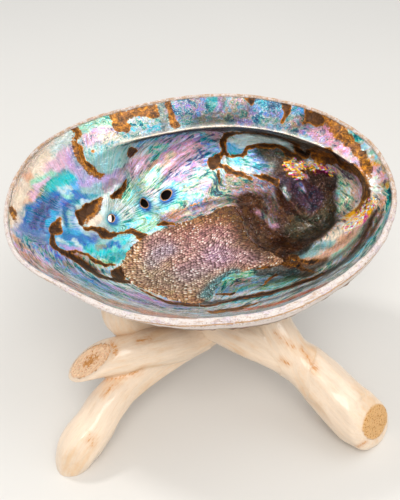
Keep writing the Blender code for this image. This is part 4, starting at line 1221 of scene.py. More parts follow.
class NacreTones(bpy.types.PropertyGroup):
    """Colours of the inside of the shell."""

    pearl: colour_of("Pearl", "Palest silvery nacre", (0.83, 0.90, 0.89))
    cream: colour_of("Cream", "Warm white nacre of the narrow end", (0.98, 0.91, 0.82))
    blush: colour_of("Blush", "Pink nacre", (0.94, 0.79, 0.87))
    lilac: colour_of("Lilac", "Lavender nacre", (0.77, 0.67, 0.84))
    mauve: colour_of("Mauve", "Brownish purple nacre", (0.48, 0.42, 0.46))
    peach: colour_of("Peach", "Tan pink under the rim", (0.90, 0.72, 0.60))
    coral: colour_of("Coral", "Orange streak near the front rim", (0.93, 0.48, 0.20))
    fuchsia: colour_of("Fuchsia", "Pink-purple glints", (0.85, 0.25, 0.60))
    gold: colour_of("Gold", "Golden glints", (1.0, 0.76, 0.16))
    mint: colour_of("Mint", "Pale green nacre", (0.66, 0.88, 0.78))
    aqua: colour_of("Aqua", "Bright blue-green nacre", (0.32, 0.80, 0.80))
    teal: colour_of("Teal", "Deep blue-green nacre", (0.08, 0.55, 0.58))
    emerald: colour_of("Emerald", "Bright green nacre", (0.12, 0.70, 0.54))
    moss: colour_of("Moss", "Dark green nacre", (0.13, 0.32, 0.25))
    sky: colour_of("Sky", "Bright blue nacre", (0.38, 0.68, 0.88))
    blue: colour_of("Blue", "Deep blue nacre", (0.05, 0.38, 0.68))
    indigo: colour_of("Indigo", "Blue-violet nacre", (0.40, 0.50, 0.70))
    navy: colour_of("Navy", "Darkest blue folds", (0.10, 0.18, 0.45))
    plum: colour_of("Plum", "Dark brown purple of the hollow", (0.29, 0.19, 0.17))
    slate: colour_of("Slate", "Grey-green smooth nacre", (0.55, 0.71, 0.71))
    olive: colour_of("Olive", "Grey-green streaked nacre", (0.42, 0.50, 0.43))
    umber: colour_of("Umber", "Dark brown stains", (0.31, 0.185, 0.075))
    rust: colour_of("Rust", "Middle brown of the stains", (0.55, 0.33, 0.07))
    amber: colour_of("Amber", "Golden brown flecks and edges", (0.82, 0.52, 0.10))
    # Painted shade: near black for the painted shadow under the flat lip, in the walls of the holes and in the darkest
    # dark washes
    ink: colour_of("Ink", "Near black under the flat lip", (0.09, 0.06, 0.055))


class ShellLooks(bpy.types.PropertyGroup):
    """Colours of the rim and the outside, and the strength of the shell's relief."""

    chalk: colour_of("Chalk", "White of the rim", (0.93, 0.885, 0.86))
    vein: colour_of("Vein", "Tan veins of the rim", (0.76, 0.56, 0.33))
    brick: colour_of("Brick", "Red-brown of the outside", (0.50, 0.27, 0.20))
    crust: colour_of("Crust", "Pale growth on the outside", (0.78, 0.72, 0.64))
    algae: colour_of("Algae", "Green-grey of the outside", (0.50, 0.50, 0.38))
    # colour of the painted sheen, sparkles, crest highlight and cores of the painted flashes of the nacre
    gleam: colour_of("Gleam", "Brightest streaks and specks of the nacre", (0.95, 0.98, 0.98))
    relief: FloatProperty(
        name="Relief", description="Strength of folds and hollows inside",
        default=1.0, min=0, max=2,
    )
    pebble: FloatProperty(
        name="Pebble size", description="Size of the muscle scar's bumps, in millimetres",
        default=1.0, min=0.4, max=2,
    )
    pebble_height: FloatProperty(
        name="Pebble height", description="Height of the muscle scar's bumps, in millimetres",
        default=0.45, min=0, max=1,
    )
    scar: colour_of("Scar", "Tan brown of the muscle scar", (0.75, 0.58, 0.47))
    # painted shade between the scar's bumps, over their dark brown
    scar_gap_shade: colour_of("Scar gaps", "Dark between the muscle scar's bumps", (0.24, 0.13, 0.09))


class WoodLooks(bpy.types.PropertyGroup):
    """Colours of the peeled, lacquered sticks."""

    pale: colour_of("Pale wood", "Peeled wood", (0.955, 0.865, 0.765))
    warm: colour_of("Warm wood", "Darker patches of the wood", (0.90, 0.745, 0.565))
    rust: colour_of("Rust", "Stains and cracks", (0.82, 0.52, 0.14))
    cut: colour_of("Sawn end", "End grain of the right foot", (0.86, 0.66, 0.40))
    stub: colour_of("Sawn stub", "Pink tan of the upper sawn end", (1.0, 0.83, 0.66))


class StageLooks(bpy.types.PropertyGroup):
    """Floor and lights."""

    floor: colour_of("Floor", "Plain pale floor", (0.87, 0.86, 0.84))
    key_power: FloatProperty(
        name="Key light", description="Power of the front light",
        default=4.2, min=0.0, unit="POWER",
    )
    top_power: FloatProperty(
        name="Top light", description="Power of the top light",
        default=2.2, min=0.0, unit="POWER",
    )
    spark_power: FloatProperty(
        name="Glint light", description="Power of the small light",
        default=1.6, min=0, unit="POWER",
    )
    sky_power: FloatProperty(
        name="Surroundings", description="Strength of the surrounding light",
        default=0.55, min=0.0,
    )


def nacre_finish(tones, looks):
    """The inside: tints under streaks of interference colours, brown stains, golden flecks and the chalky rim, with
    painted shade, sheen, sparkles and highlights.
    """
    finish = Finish("nacre")
    place = finish.place()
    tint = finish.stored("tint", "Color")
    stain, amber, rim, bore = (finish.number(name) for name in ("stain", "amber", "rim", "bore"))
    flow, shelf, shade = (finish.number(name) for name in ("flow", "shelf", "shade"))
    crest, brow, calm = (finish.number(name) for name in ("crest", "brow", "calm"))
    glint, halo = finish.number("glint"), finish.number("halo")
    lively = (1.0 - calm * 0.75) * (1.0 - shelf * 0.6)
    bands = finish.streaks(place, flow, 24.0, 0.10) - 0.5
    threads = finish.streaks(place, flow, 58.0, 0.24, 3.0) - 0.5
    cloud = finish.noise(place, 0.26, 4.0, 0.65, 0.8) - 0.5
    blot = finish.noise(place, 0.42, 5.0, 0.75, 0.5) - 0.5
    fine = finish.noise(place, 1.25, 3.0, 0.72) - 0.5
    grit = finish.noise(place, 1.5, 3.0, 0.75) - 0.5
    wander = (finish.noise(place, 0.8, 4.0, 0.7) - 0.5) * 2.0
    # interference colours that change along and across the streaks
    phase = 0.5 + bands * 2.6 + cloud * 1.8 + threads * 2.2 + shelf * (blot * 2.4 + grit * 1.2)
    names = ("blue", "aqua", "mint", "cream", "peach", "blush", "lilac", "sky", "teal")
    film = finish.ramp(phase, [(number / 8.0, tones[name]) for number, name in enumerate(names)])
    turned = finish.tuned(tint, 0.492 + bands * lively * 0.2 + cloud * (0.2 - calm * 0.1), 1.3 - calm * 0.2)
    colour = finish.mix(0.06 + lively * 0.40 + shelf * 0.24, turned, film)
    light = 0.96 + calm * 0.04 + (threads * 3.2 + bands * 2.6) * lively + fine * (0.4 + lively * 0.4) + cloud * 0.7
    light = light + shelf * (cloud * 0.8 + blot * 2.0 + grit * 1.4 - 0.12)
    colour = finish.tuned(colour, 0.5, 1.2 + shelf * 0.2 + lively * 0.15, light)
    colour = finish.mix(threads.step(-0.08, -0.18) * lively * 0.6, colour, finish.tuned(tint, 0.5, 1.4, 0.22))
    # painted sheen along the brightest streaks, and painted sparkles
    gleam = (threads + bands * 0.4).step(0.07, 0.15) * lively * 0.5
    spark = (finish.noise(place, 2.3, 1.0) + shelf * 0.03).step(0.67, 0.73) * (0.1 + lively * 0.3 + shelf * 0.7)
    colour = finish.mix(gleam.most(spark), colour, looks["gleam"])
    # painted shade in the hollow and under the flat lip, and dark washes of the nacre, with the nacre glinting through
    dark_and_shade_cover = (shade * 1.12).least(1.0) * (1.0 - 0.30 * fine.step(0.06, 0.18))
    dark_and_shade_tone = finish.mix((cloud + blot * 0.5).step(-0.12, 0.12), tones["ink"], tones["plum"])
    dark_and_shade_tone = finish.mix(0.3, dark_and_shade_tone, tones["umber"])
    dark_and_shade_tone = finish.mix(0.3 + fine * 0.5, dark_and_shade_tone, finish.tuned(tint, 0.5, 1.5, 0.35))
    dark_and_shade_tone = finish.mix((grit + blot * 1.5).step(0.12, 0.28) * 0.28, dark_and_shade_tone, tones["rust"])
    dark_and_shade_tone = finish.tuned(dark_and_shade_tone, 0.5 + cloud * 0.12, 1.2, 1.0 + fine * 2.2 + cloud * 2.0)
    colour = finish.mix(dark_and_shade_cover, colour, dark_and_shade_tone)
    # the crest of the flat lip: a painted highlight along its roll, with a painted shadow line under it
    under = (crest - 0.9).step(-0.4, 0.2) * (crest - 0.9).step(1.5, 0.3) * brow.step(0.6, 1.0)
    colour = finish.mix(under * 0.85, colour, tones["ink"])
    roll = finish.mix(0.35 + blot * 1.5, tones["cream"], film)
    colour = finish.mix(
        (crest + wander * 0.5).step(-2.6, 0.2) * crest.step(0.5, 0.3) * brow * 0.38, colour, roll
    )
    roll = finish.mix((grit + cloud).step(0.04, 0.14) * 0.5, tones["cream"], looks["gleam"])
    colour = finish.mix(
        (crest + wander * 0.15).step(-0.45, 0.0) * crest.step(0.5, 0.25) * brow * 0.7, colour, roll
    )
    # golden-brown flecks, in ragged patches
    flecks = finish.ramp(
        0.50 + grit * 0.5 + blot * 2.2,
        [(0.26, tones["umber"]), (0.50, tones["rust"]), (0.76, tones["amber"]), (0.98, tones["gold"])],
    )
    cover = (amber + wander * 0.4 - blot * 2.5 + grit * 2.5).step(-0.4, 0.3)
    colour = finish.mix(cover * 0.95, colour, flecks)
    # brown stains, dark inside and golden brown where they end
    edge = stain + wander * 0.28 + blot * 0.8 + grit * 0.5
    margin = finish.mix((grit - edge * 0.3).step(-0.12, 0.08), tones["rust"], tones["amber"])
    brown = finish.mix((edge * 0.9 + blot * 3.6).step(0.1, 1.0), margin, tones["umber"])
    brown = finish.tuned(brown, 0.5, 1.0, 0.92 + bands * 3.0 + threads * 2.0 + fine - shade * 0.35)
    colour = finish.mix(edge.step(-0.22, 0.15), colour, brown)
    # blue round the holes, with a thin tan ring
    ring = (halo + wander * 0.6 + threads * 5.0).step(3.6, 0.6)
    azure = finish.mix((halo + wander * 0.5).step(0.4, 2.4), tones["blue"], tones["aqua"])
    colour = finish.mix(ring * 0.95, colour, finish.tuned(azure, 0.5, 1.0, 1.0 + threads * 4.0))
    colour = finish.mix(bore.step(0.42, 0.2), colour, looks["vein"])
    # painted flashes of every colour, highlights put into the base colour, white at their brightest
    drawn = finish.vector("MULTIPLY", place, (0.45, 1.0, 1.0))
    flash = finish.noise(drawn, 0.9, 1.5, 0.6) + glint * 0.15
    hue = finish.noise(drawn, 0.7, 1.5)
    stops = (
        (0.36, "fuchsia"), (0.40, "coral"), (0.46, "gold"), (0.53, "gold"), (0.57, "aqua"), (0.66, "fuchsia"),
    )
    flame = finish.ramp(hue, [(at, tones[name]) for at, name in stops])
    flame = finish.mix(flash.step(0.74, 0.78), flame, looks["gleam"])
    colour = finish.mix(flash.step(0.59, 0.64) * glint.step(0.1, 0.5), colour, flame)
    # chalky rim, tan where it is thin
    chalk = (rim + wander * 0.25).step(0.9, 0.2)
    veins = finish.streaks(place, rim, 1.9, 0.30, 3.0)
    chalk_tone = finish.mix(veins.step(0.52, 0.64) * 0.5, looks["chalk"], looks["vein"])
    chalk_tone = finish.mix(cloud.step(0.0, 0.16) * 0.35, chalk_tone, tones["lilac"])
    chalk_tone = finish.mix((fine + cloud * 0.6).step(0.06, 0.13) * 0.42, chalk_tone, looks["algae"])
    chalk_tone = finish.mix((grit + rim * 0.03).step(-0.12, -0.20) * 0.6, chalk_tone, tones["rust"])
    line = (rim + wander * 0.12 + 2.45).step(-0.2, 0.0) * (rim + wander * 0.12 + 2.45).step(0.35, 0.15)
    chalk_tone = finish.mix(line * blot.step(-0.22, -0.04) * 0.85, chalk_tone, looks["vein"])
    thin = finish.number("back") * (blot + grit).step(-0.12, 0.10) * 0.75
    chalk_tone = finish.mix(
        thin, chalk_tone, finish.mix(grit.step(-0.12, 0.02), tones["rust"], looks["vein"])
    )
    colour = finish.mix(chalk, colour, finish.tuned(chalk_tone, 0.5, 1.0, 0.96 + fine * 0.6 + cloud * 0.4))
    brownish = edge.step(-0.3, 0.2).most(cover).most(shade)
    finish.bump(cloud, 0.60)
    finish.bump(bands * lively, 0.30)
    finish.bump(threads * lively, 0.14)
    finish.bump(fine, 0.05)
    finish.bump(grit * (chalk * 0.2 + cover * 0.15), 1.0)
    finish.bump(veins * chalk, 0.6)
    rough = 0.24 + fine * 0.2 + brownish * 0.12 + chalk * 0.4
    metal = (0.46 - calm * 0.24 + brownish * 0.2) * (1.0 - chalk)
    coat = (1.0 - chalk) * (1.0 - brownish * 0.75) * 0.3
    return finish.done(
        Base_Color=colour, Roughness=rough, Metallic=metal,
        Coat_Weight=coat, Coat_Roughness=0.06, Specular_IOR_Level=0.3,
    )


def crust_finish(looks):
    """The outside: red-brown with pale growth on what stands proud, in bands along the growth lines."""
    finish = Finish("crust")
    place = finish.place()
    raised, run = finish.number("raised"), finish.number("run")
    lift = finish.node("ShaderNodeCombineXYZ", {}, {"X": run * 24.0}).outputs[0]
    band = finish.noise(finish.vector("ADD", finish.vector("SCALE", place, scale=0.012), lift), 1.0, 2.0)
    blotch = finish.noise(place, 0.10, 4.0, 0.65, 0.6)
    grit = finish.noise(place, 0.9, 4.0, 0.7)
    colour = finish.mix(blotch.step(0.42, 0.62), looks["brick"], looks["algae"])
    colour = finish.mix(band.step(0.48, 0.62) * 0.6, colour, looks["crust"])
    colour = finish.mix((raised * 0.7 + grit * 0.9).step(0.55, 1.15) * 0.8, colour, looks["crust"])
    colour = finish.mix(grit.step(0.62, 0.74) * 0.5, colour, looks["chalk"])
    colour = finish.tuned(colour, 0.5, 1.0, 0.62 + grit * 0.75)
    reach = finish.number("reach")
    edge = finish.mix((reach - 0.6 * grit).step(3.3, 3.8) * 0.8, looks["chalk"], looks["vein"])
    edge = finish.mix((reach + grit).step(4.2, 4.9), edge, looks["chalk"])
    edge = finish.mix(finish.noise(place, 0.7, 3.0, 0.7).step(0.55, 0.68) * 0.5, edge, looks["algae"])
    colour = finish.mix((reach + 4.0 * (blotch - 0.5)).step(10.5, 7.5), colour, edge)
    finish.bump(grit, 0.35)
    finish.bump(finish.noise(place, 2.6, 3.0, 0.7), 0.12)
    return finish.done(Base_Color=colour, Roughness=0.62 + grit * 0.3, Coat_Roughness=0.5)


def bore_finish(looks, tones, lit_hole_at):
    """The walls of the open holes: painted near-black shade, but chalky white with a painted glow of light in the one
    nearest the narrow end, its right side left in painted shade.
    """
    finish = Finish("bore")
    place = finish.place()
    # painted light in the hole nearest the narrow end, painted shade on its right side
    pale = Value(finish, finish.vector("DISTANCE", place, tuple(lit_hole_at / MM))).step(7.0, 5.0)
    aside = Value(finish, finish.vector("DOT_PRODUCT", place, (1.0, 0.0, 0.0))) - lit_hole_at[0] / MM
    pale = pale * aside.step(3.0, 2.4)
    grit = finish.noise(place, 1.6, 2.0)
    colour = finish.mix(pale, tones["ink"], looks["chalk"])
    finish.bump(grit, 0.1)
    # painted glow, though no lamp is there
    glow = finish.mix(pale * 0.8, (0.0, 0.0, 0.0), looks["chalk"])
    return finish.done(
        Base_Color=colour, Roughness=0.8, Specular_IOR_Level=0.1, Emission_Color=glow, Emission_Strength=1.0
    )


def scar_finish(tones, looks):
    """The muscle scar: pebbles with a painted highlight on each top and painted shade between them over dark brown,
    over slow changes of tint.
    """
    finish = Finish("scar")
    place = finish.place()
    crest, spread = finish.number("crest"), finish.number("spread")
    tint = finish.stored("tint", "Color")
    mottle = finish.noise(place, 0.35, 3.0, 0.6, 0.8) - 0.5
    fine = finish.noise(place, 1.6, 2.0, 0.6) - 0.5
    colour = finish.tuned(
        tint, 0.505 + mottle * 0.12, 1.2, 0.88 + mottle * 0.9 + (spread - 0.5) * 0.6 + fine * 0.5
    )
    # painted shade in the gaps between the bumps, over their dark brown
    colour = finish.mix(crest.step(0.60, 0.10) * 0.88, colour, looks["scar_gap_shade"])
    # painted highlight on the top of each bump, less on the umber
    dot = crest * 0.9 + fine * 0.7 + (spread - 0.5) * 0.35 + mottle * 0.3 - finish.number("dull") * 0.25
    gleam = dot.step(0.73, 0.91)
    colour = finish.mix(
        gleam * 0.75, colour, finish.mix(mottle.step(-0.1, 0.1), tones["cream"], tones["pearl"])
    )
    finish.bump(fine, 0.10)
    return finish.done(
        Base_Color=colour, Roughness=0.42 - gleam * 0.12, Metallic=0.3, Coat_Weight=0.15 + gleam * 0.2,
        Coat_Roughness=0.15, Specular_IOR_Level=0.35,
    )


def wood_finish(name, looks, sawn, rot):
    """Peeled, lacquered wood: faint grain along the stick, warm patches, rust-brown stains and one porous sawn end."""
    finish = Finish(name)
    grain_at = finish.stored("grain")
    stain, cut, face = finish.number("stain"), finish.number("cut"), finish.number("face")
    long_grain = finish.noise(finish.vector("MULTIPLY", grain_at, (0.5, 0.5, 0.05)), 1.0, 4.0, 0.6, 0.4) - 0.5
    fibre = finish.noise(finish.vector("MULTIPLY", grain_at, (2.2, 2.2, 0.25)), 1.0, 3.0, 0.6) - 0.5
    patch = finish.noise(finish.vector("MULTIPLY", grain_at, (0.10, 0.10, 0.05)), 1.0, 4.0, 0.65) - 0.5
    blot = finish.noise(grain_at, 0.9, 3.0, 0.65) - 0.5
    colour = finish.mix((patch + long_grain * 0.5).step(-0.04, 0.24) * 0.8, looks["pale"], looks["warm"])
    colour = finish.mix(fibre.step(0.0, 0.18) * 0.3, colour, looks["warm"])
    colour = finish.tuned(colour, 0.5, 1.0, 1.0 + long_grain * 0.35 + blot * 0.12)
    glow = (stain + blot * 4.0 + fibre * 3.0).step(-2.6, 0.5) * 0.5
    colour = finish.mix(glow, colour, finish.mix(0.5, looks["warm"], looks["rust"]))
    worn = (stain * 1.3 + fibre * 7.0 + blot * 4.0).step(-0.5, 0.9)
    colour = finish.mix(worn * stain.step(-1.1, -0.1) * 0.75, colour, looks["rust"])
    # the sawn end: porous, with a pale rim and, in one, a stained heart
    end = cut.step(-1.0, -0.5) * (face + blot * 0.2).step(0.20, 0.28)
    pores = finish.cells(grain_at, 1.1)
    pitted = finish.tuned(sawn, 0.485, 1.35 - rot * 0.25, 0.66 + rot * 0.32)
    end_colour = finish.mix(pores.step(0.14, 0.44), pitted, finish.tuned(sawn, 0.5, 0.95, 1.06 + blot * 0.5))
    heart = (face + blot * 1.6).step(0.66, 0.85)
    heart = heart + (face + blot * 1.0).step(0.52, 0.30) * (patch + blot).step(-0.05, 0.1) * 0.8
    end_colour = finish.mix(heart.least(1.0) * rot * 0.85, end_colour, looks["rust"])
    colour = finish.mix(end, colour, end_colour)
    finish.bump(long_grain, 0.16)
    finish.bump(fibre, 0.03)
    finish.bump(pores * end, 0.45)
    finish.bump(blot * end * rot, 0.7)
    return finish.done(
        Base_Color=colour, Roughness=0.42 + end * 0.28, Coat_Weight=0.6 - end * 0.55, Coat_Roughness=0.09
    )


def floor_finish(colour):
    """Plain pale floor with the faintest unevenness."""
    finish = Finish("floor")
    cloud = finish.noise(finish.place(), 0.004, 3.0)
    return finish.done(
        Base_Color=finish.tuned(colour, 0.5, 1.0, 0.97 + cloud * 0.06), Roughness=0.6 + cloud * 0.1
    )


class Bowl:
    """The shell's inner grid with its unrolled plan and relief, shared by the shell and its scar."""

    def __init__(self, strength):
        self.angle = np.linspace(0.0, TURN, AROUND, endpoint=False)
        smooth = inner_surface(self.angle, SHELF_ROWS, BOWL_ROWS)
        self.plan = unrolled(smooth, self.angle)
        self.sketch = Sketch(placed(smooth), self.plan)
        height = strength * relief(self.plan.reshape(-1, 2), self.sketch).reshape(smooth.shape[:2])
        self.way_in = way_along(smooth)
        height *= smooth_step(self.way_in, 0.0, 3.0)
        flat = (shelf_share(self.angle) * undercut_share(self.angle))[:, None]
        self.past_crest = self.way_in - self.way_in[:, SHELF_ROWS : SHELF_ROWS + 1]
        height += 0.4 * flat * np.exp(-((self.past_crest / 1.5) ** 2))
        height[:, -1] = height[:, -1].mean()
        normal = grid_normals(smooth)
        normal *= np.sign(normal[..., 2:3].mean())
        for x, y, z, _, size, _ in OPEN_HOLES:
            away = np.linalg.norm(smooth - np.array([x, y, z]), axis=-1)
            height -= 0.7 * np.exp(-((away / (size + 1.6)) ** 2))
        self.points = smooth + height[..., None] * normal
        self.points[:, -1] = self.points[:, -1].mean(axis=0)

    def floor_table(self, reach, step):
        """Depth of the floor at each of the grid's angles and at even distances from the middle."""
        away = about_middle(self.points[..., 0], self.points[..., 1])[0]
        out = np.arange(0.0, reach, step)
        columns = zip(away[:, 60:], self.points[:, 60:, 2])
        low = [np.interp(out, far[::-1], deep[::-1]) for far, deep in columns]
        return np.array(low)

    def depth(self, x, y, table, step):
        """Depth of the floor at points of the plan view, read evenly between the table's entries."""
        away, angle = about_middle(x, y)
        turn = np.mod(angle, TURN) / TURN * AROUND
        out = np.minimum(away / step, table.shape[1] - 1.001)
        first, ring = np.floor(turn).astype(int), np.floor(out).astype(int)
        t, r = turn - first, out - ring
        first, second = first % AROUND, (first + 1) % AROUND
        near = table[first, ring] * (1 - r) + table[first, ring + 1] * r
        far = table[second, ring] * (1 - r) + table[second, ring + 1] * r
        return near * (1 - t) + far * t


def hole_cutter():
    """Closed round bars through the wall, one for each open hole."""
    turn = np.linspace(0.0, TURN, HOLE_SIDES, endpoint=False)[:, None]
    points, quads, triangles = [], [], []
    for number, (x, y, z, lean, wide, tall) in enumerate(OPEN_HOLES):
        along, foot = hole_line(x, y, z, lean)
        side, other = hole_sides(along)
        uneven = 1.0 + 0.05 * np.sin(2 * turn + number) + 0.03 * np.sin(5 * turn + 2 * number)
        circle = uneven * (wide * np.cos(turn) * side + tall * np.sin(turn) * other)
        rings = [foot + reach * along + circle for reach in np.linspace(*HOLE_BAR, 8)]
        bar = np.concatenate([*rings, [foot + reach * along for reach in HOLE_BAR]])
        sides, ends = ring_faces(len(rings), HOLE_SIDES)
        count = sum(len(part) for part in points)
        points.append(placed(bar))
        quads.append(sides + count)
        triangles.append(ends + count)
    return new_piece("hole_cutter", np.concatenate(points), np.concatenate(quads), np.concatenate(triangles))


class ABALONE_OT_shell(bpy.types.Operator):
    """Adds the shell: inside, rim and outside in one closed surface, pierced by the open holes"""

    bl_idname = "abalone.shell"
    bl_label = "Shell"

    def execute(self, context):
        looks, tones = context.scene.abalone_shell, tones_of(context.scene.abalone_nacre)
        bowl = Bowl(looks.relief)
        angle = bowl.angle
        outer = outer_surface(angle, OUTER_ROWS)
        run = np.broadcast_to(np.linspace(0.0, 1.0, OUTER_ROWS + 1), outer.shape[:2])
        reach = way_along(outer)
        raised = outer_relief(outer, run, reach)
        lip = lip_surface(angle, bowl.points[:, 0], outer[:, 0])
        out = outward(outer[..., 0], outer[..., 1])
        out[:, -1] = out[:, -1].mean(axis=0)
        raised[:, -1] = raised[:, -1].mean()
        outer = outer + raised[..., None] * out
        wide = lip_width(angle)[:, None]
        across = np.linspace(0.0, 1.0, LIP_ROWS + 2)[None, 1:-1] * np.hypot(1.0, LIP_SLOPE) * wide
        rows = np.concatenate([bowl.points[:, -2::-1], lip, outer[:, :-1]], axis=1)
        rim = np.concatenate([bowl.way_in[:, -2::-1], -across, -wide - reach[:, :-1]], axis=1)
        radial = np.stack([np.cos(angle), np.sin(angle)], axis=-1)[:, None]
        far = np.linalg.norm(bowl.plan[:, :1], axis=-1, keepdims=True)
        beyond = np.concatenate([across, wide + reach[:, :-1]], axis=1)[..., None]
        plan = np.concatenate([bowl.plan[:, -2::-1], radial * (far + beyond)], axis=1)
        blank = np.zeros((AROUND, bowl.points.shape[1] - 1 + LIP_ROWS))
        beyond_lip = np.full((AROUND, LIP_ROWS + OUTER_ROWS), PAST_LIP)
        past = np.concatenate([bowl.past_crest[:, -2::-1], beyond_lip], axis=1)
        runs = np.concatenate([blank, run[:, :-1]], axis=1)
        heights = np.concatenate([blank, raised[:, :-1]], axis=1)
        worn = np.exp(-((np.minimum(np.abs(rim), np.abs(rim + wide)) / WEAR_REACH) ** 2))
        worn = np.where((rim < 0) & (rim > -wide), 1.0, worn) * rim_wear(rows)
        rows = rows + worn[..., None] * np.concatenate([radial, np.full((AROUND, 1, 1), 0.5)], axis=-1)
        ends = np.stack([bowl.points[0, -1], outer[0, -1]])

        def column(grid, low, high):
            rows = grid.transpose(1, 0, *range(2, grid.ndim))
            return np.concatenate([rows.reshape(-1, *grid.shape[2:]), [low, high]])

        points = placed(column(rows, *ends))
        quads, triangles = ring_faces(rows.shape[1], AROUND)
        piece = new_piece("abalone_shell_look", points, quads, triangles)
        inside_rows = bowl.points.shape[1] - 1 + LIP_ROWS
        slots = np.zeros(len(piece.data.polygons), np.int32)
        slots[(inside_rows - 1) * AROUND : len(quads)] = 1
        slots[len(quads) + AROUND :] = 1
        colours = tones_of(looks)
        piece.data.materials.append(nacre_finish(tones, colours))
        piece.data.materials.append(crust_finish(colours))
        piece.data.polygons.foreach_set("material_index", slots)
        add_uv(piece, "plan", column(plan, np.zeros(2), np.zeros(2)))
        add_uv(piece, "way", np.stack([column(rim, 90.0, -90.0), column(runs, 0.0, 1.0)], axis=-1))
        high = column(heights, 0.0, raised[0, -1]), column(past, 30.0, PAST_LIP)
        add_uv(piece, "high", np.stack(high, axis=-1))
        cutter = hole_cutter()
        lit_hole_at = placed(np.array([hole_line(*OPEN_HOLES[0][:4])[1]]))[0]
        cutter.data.materials.append(bore_finish(colours, tones, lit_hole_at))
        for name in CARRIED:
            add_uv(cutter, name, np.zeros((len(cutter.data.vertices), 2)))
        cut = piece.modifiers.new("holes", "BOOLEAN")
        cut.operation = "DIFFERENCE"
        cut.solver = "EXACT"
        cut.material_mode = "TRANSFER"
        cut.object = cutter
        applied(piece)
        bpy.data.objects.remove(cutter)
        self.mark(piece, bowl, tones)
        piece.data.set_sharp_from_angle(angle=math.radians(50))
        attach(piece, "root")
        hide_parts("abalone_shell")
        return {"FINISHED"}

    def mark(self, piece, bowl, tones):
        """Works out the markings on every vertex of the pierced mesh."""
        mesh = piece.data
        mesh.shade_smooth()
        corners = read(mesh.loops, "vertex_index")
        kept = np.repeat(read(mesh.polygons, "material_index"), read(mesh.polygons, "loop_total")) < 2
        values = {name: np.zeros((len(mesh.vertices), 2)) for name in CARRIED}
        for name in CARRIED:
            values[name][corners[kept]] = read(mesh.uv_layers[name].data, "uv", 2, np.float32)[kept]
        for name in CARRIED:
            mesh.uv_layers.remove(mesh.uv_layers[name])
        plan, (rim, run), (raised, crest) = values["plan"], values["way"].T, values["high"].T
        shell, sketch, inside = unplaced(vertex_points(piece)), bowl.sketch, rim > -0.5
        bent = shifted(plan, MARK_WANDER)
        stain, amber = np.full(len(plan), -MARK_REACH), np.full(len(plan), -MARK_REACH)
        for pixels, widths in STAIN_LINES:
            away = away_from_line(bent[inside], sketch.line(pixels), STAIN_SWELL * np.array(widths))
            stain[inside] = np.maximum(stain[inside], -away)
        for marks, areas in ((stain, STAIN_AREAS), (amber, AMBER_AREAS)):
            for pixels in areas:
                away = away_from_area(bent[inside], sketch.line(pixels, True))
                marks[inside] = np.maximum(marks[inside], -away)
        glint, calm = np.zeros(len(plan)), np.zeros(len(plan))
        for pixels, wide, soft in GLINTS:
            glint = np.maximum(glint, cover_of(bent, sketch.line(pixels), wide, soft))
        for pixels in CALM_AREAS:
            calm = np.maximum(calm, smooth_step(-away_from_area(plan, sketch.line(pixels, True)), -2.5, 1.0))
        bore, halo = np.full(len(plan), 9.0), np.full(len(plan), 9.0)
        for x, y, z, lean, wide, tall in OPEN_HOLES:
            along, foot = hole_line(x, y, z, lean)
            bore = np.minimum(bore, past_hole(shell - foot, along, wide, tall))
            halo = np.minimum(halo, past_hole(shell - foot - np.array(HALO_SHIFT), along, wide, tall))
        turn = shell[:, 1] / np.hypot(shell[:, 0], shell[:, 1])
        angle = np.arctan2(plan[:, 1], plan[:, 0])
        way = bowl.way_in[:, SHELF_ROWS]
        lip_way = np.interp(np.mod(angle, TURN), np.append(bowl.angle, TURN), np.append(way, way[0]))
        below = np.maximum(rim - lip_way * shelf_share(angle), 0.0)
        scar = np.maximum(away_from_area(plan, sketch.line(SCAR_OUTLINE, True)), 0.0)
        step = plan - sketch.hit(WHORL)[1]
        fan = np.arctan2(step[:, 0], step[:, 1]) - FAN_BEND * (step**2).sum(axis=1)
        share = smooth_step(-away_from_area(plan, sketch.line(MANTLE, True)), -4.0, 4.0)
        add_colours(piece, "tint", paint(shifted(plan, TINT_WANDER), sketch, tones, TINTS, tones["pearl"]))
        for name, numbers in {
            "stain": np.clip(stain, -MARK_REACH, MARK_REACH),
            "amber": np.clip(amber, -MARK_REACH, MARK_REACH),
            "shade": dark_and_shade_of(bent, sketch), "glint": glint, "calm": calm, "bore": bore, "halo": halo,
            "crest": crest, "rim": rim, "run": run, "reach": -rim, "raised": raised,
            "shelf": smooth_step(turn, 0.3, 0.8) * (1.0 - smooth_step(rim, 13.0, 17.0)),
            "back": smooth_step(turn, -0.2, 0.2),
            "brow": smooth_step(shelf_share(angle) * undercut_share(angle), 0.02, 0.9),
            "flow": (1.0 - share) * below / (below + scar + 0.5) + share * fan,
        }.items():
            add_numbers(piece, name, numbers)


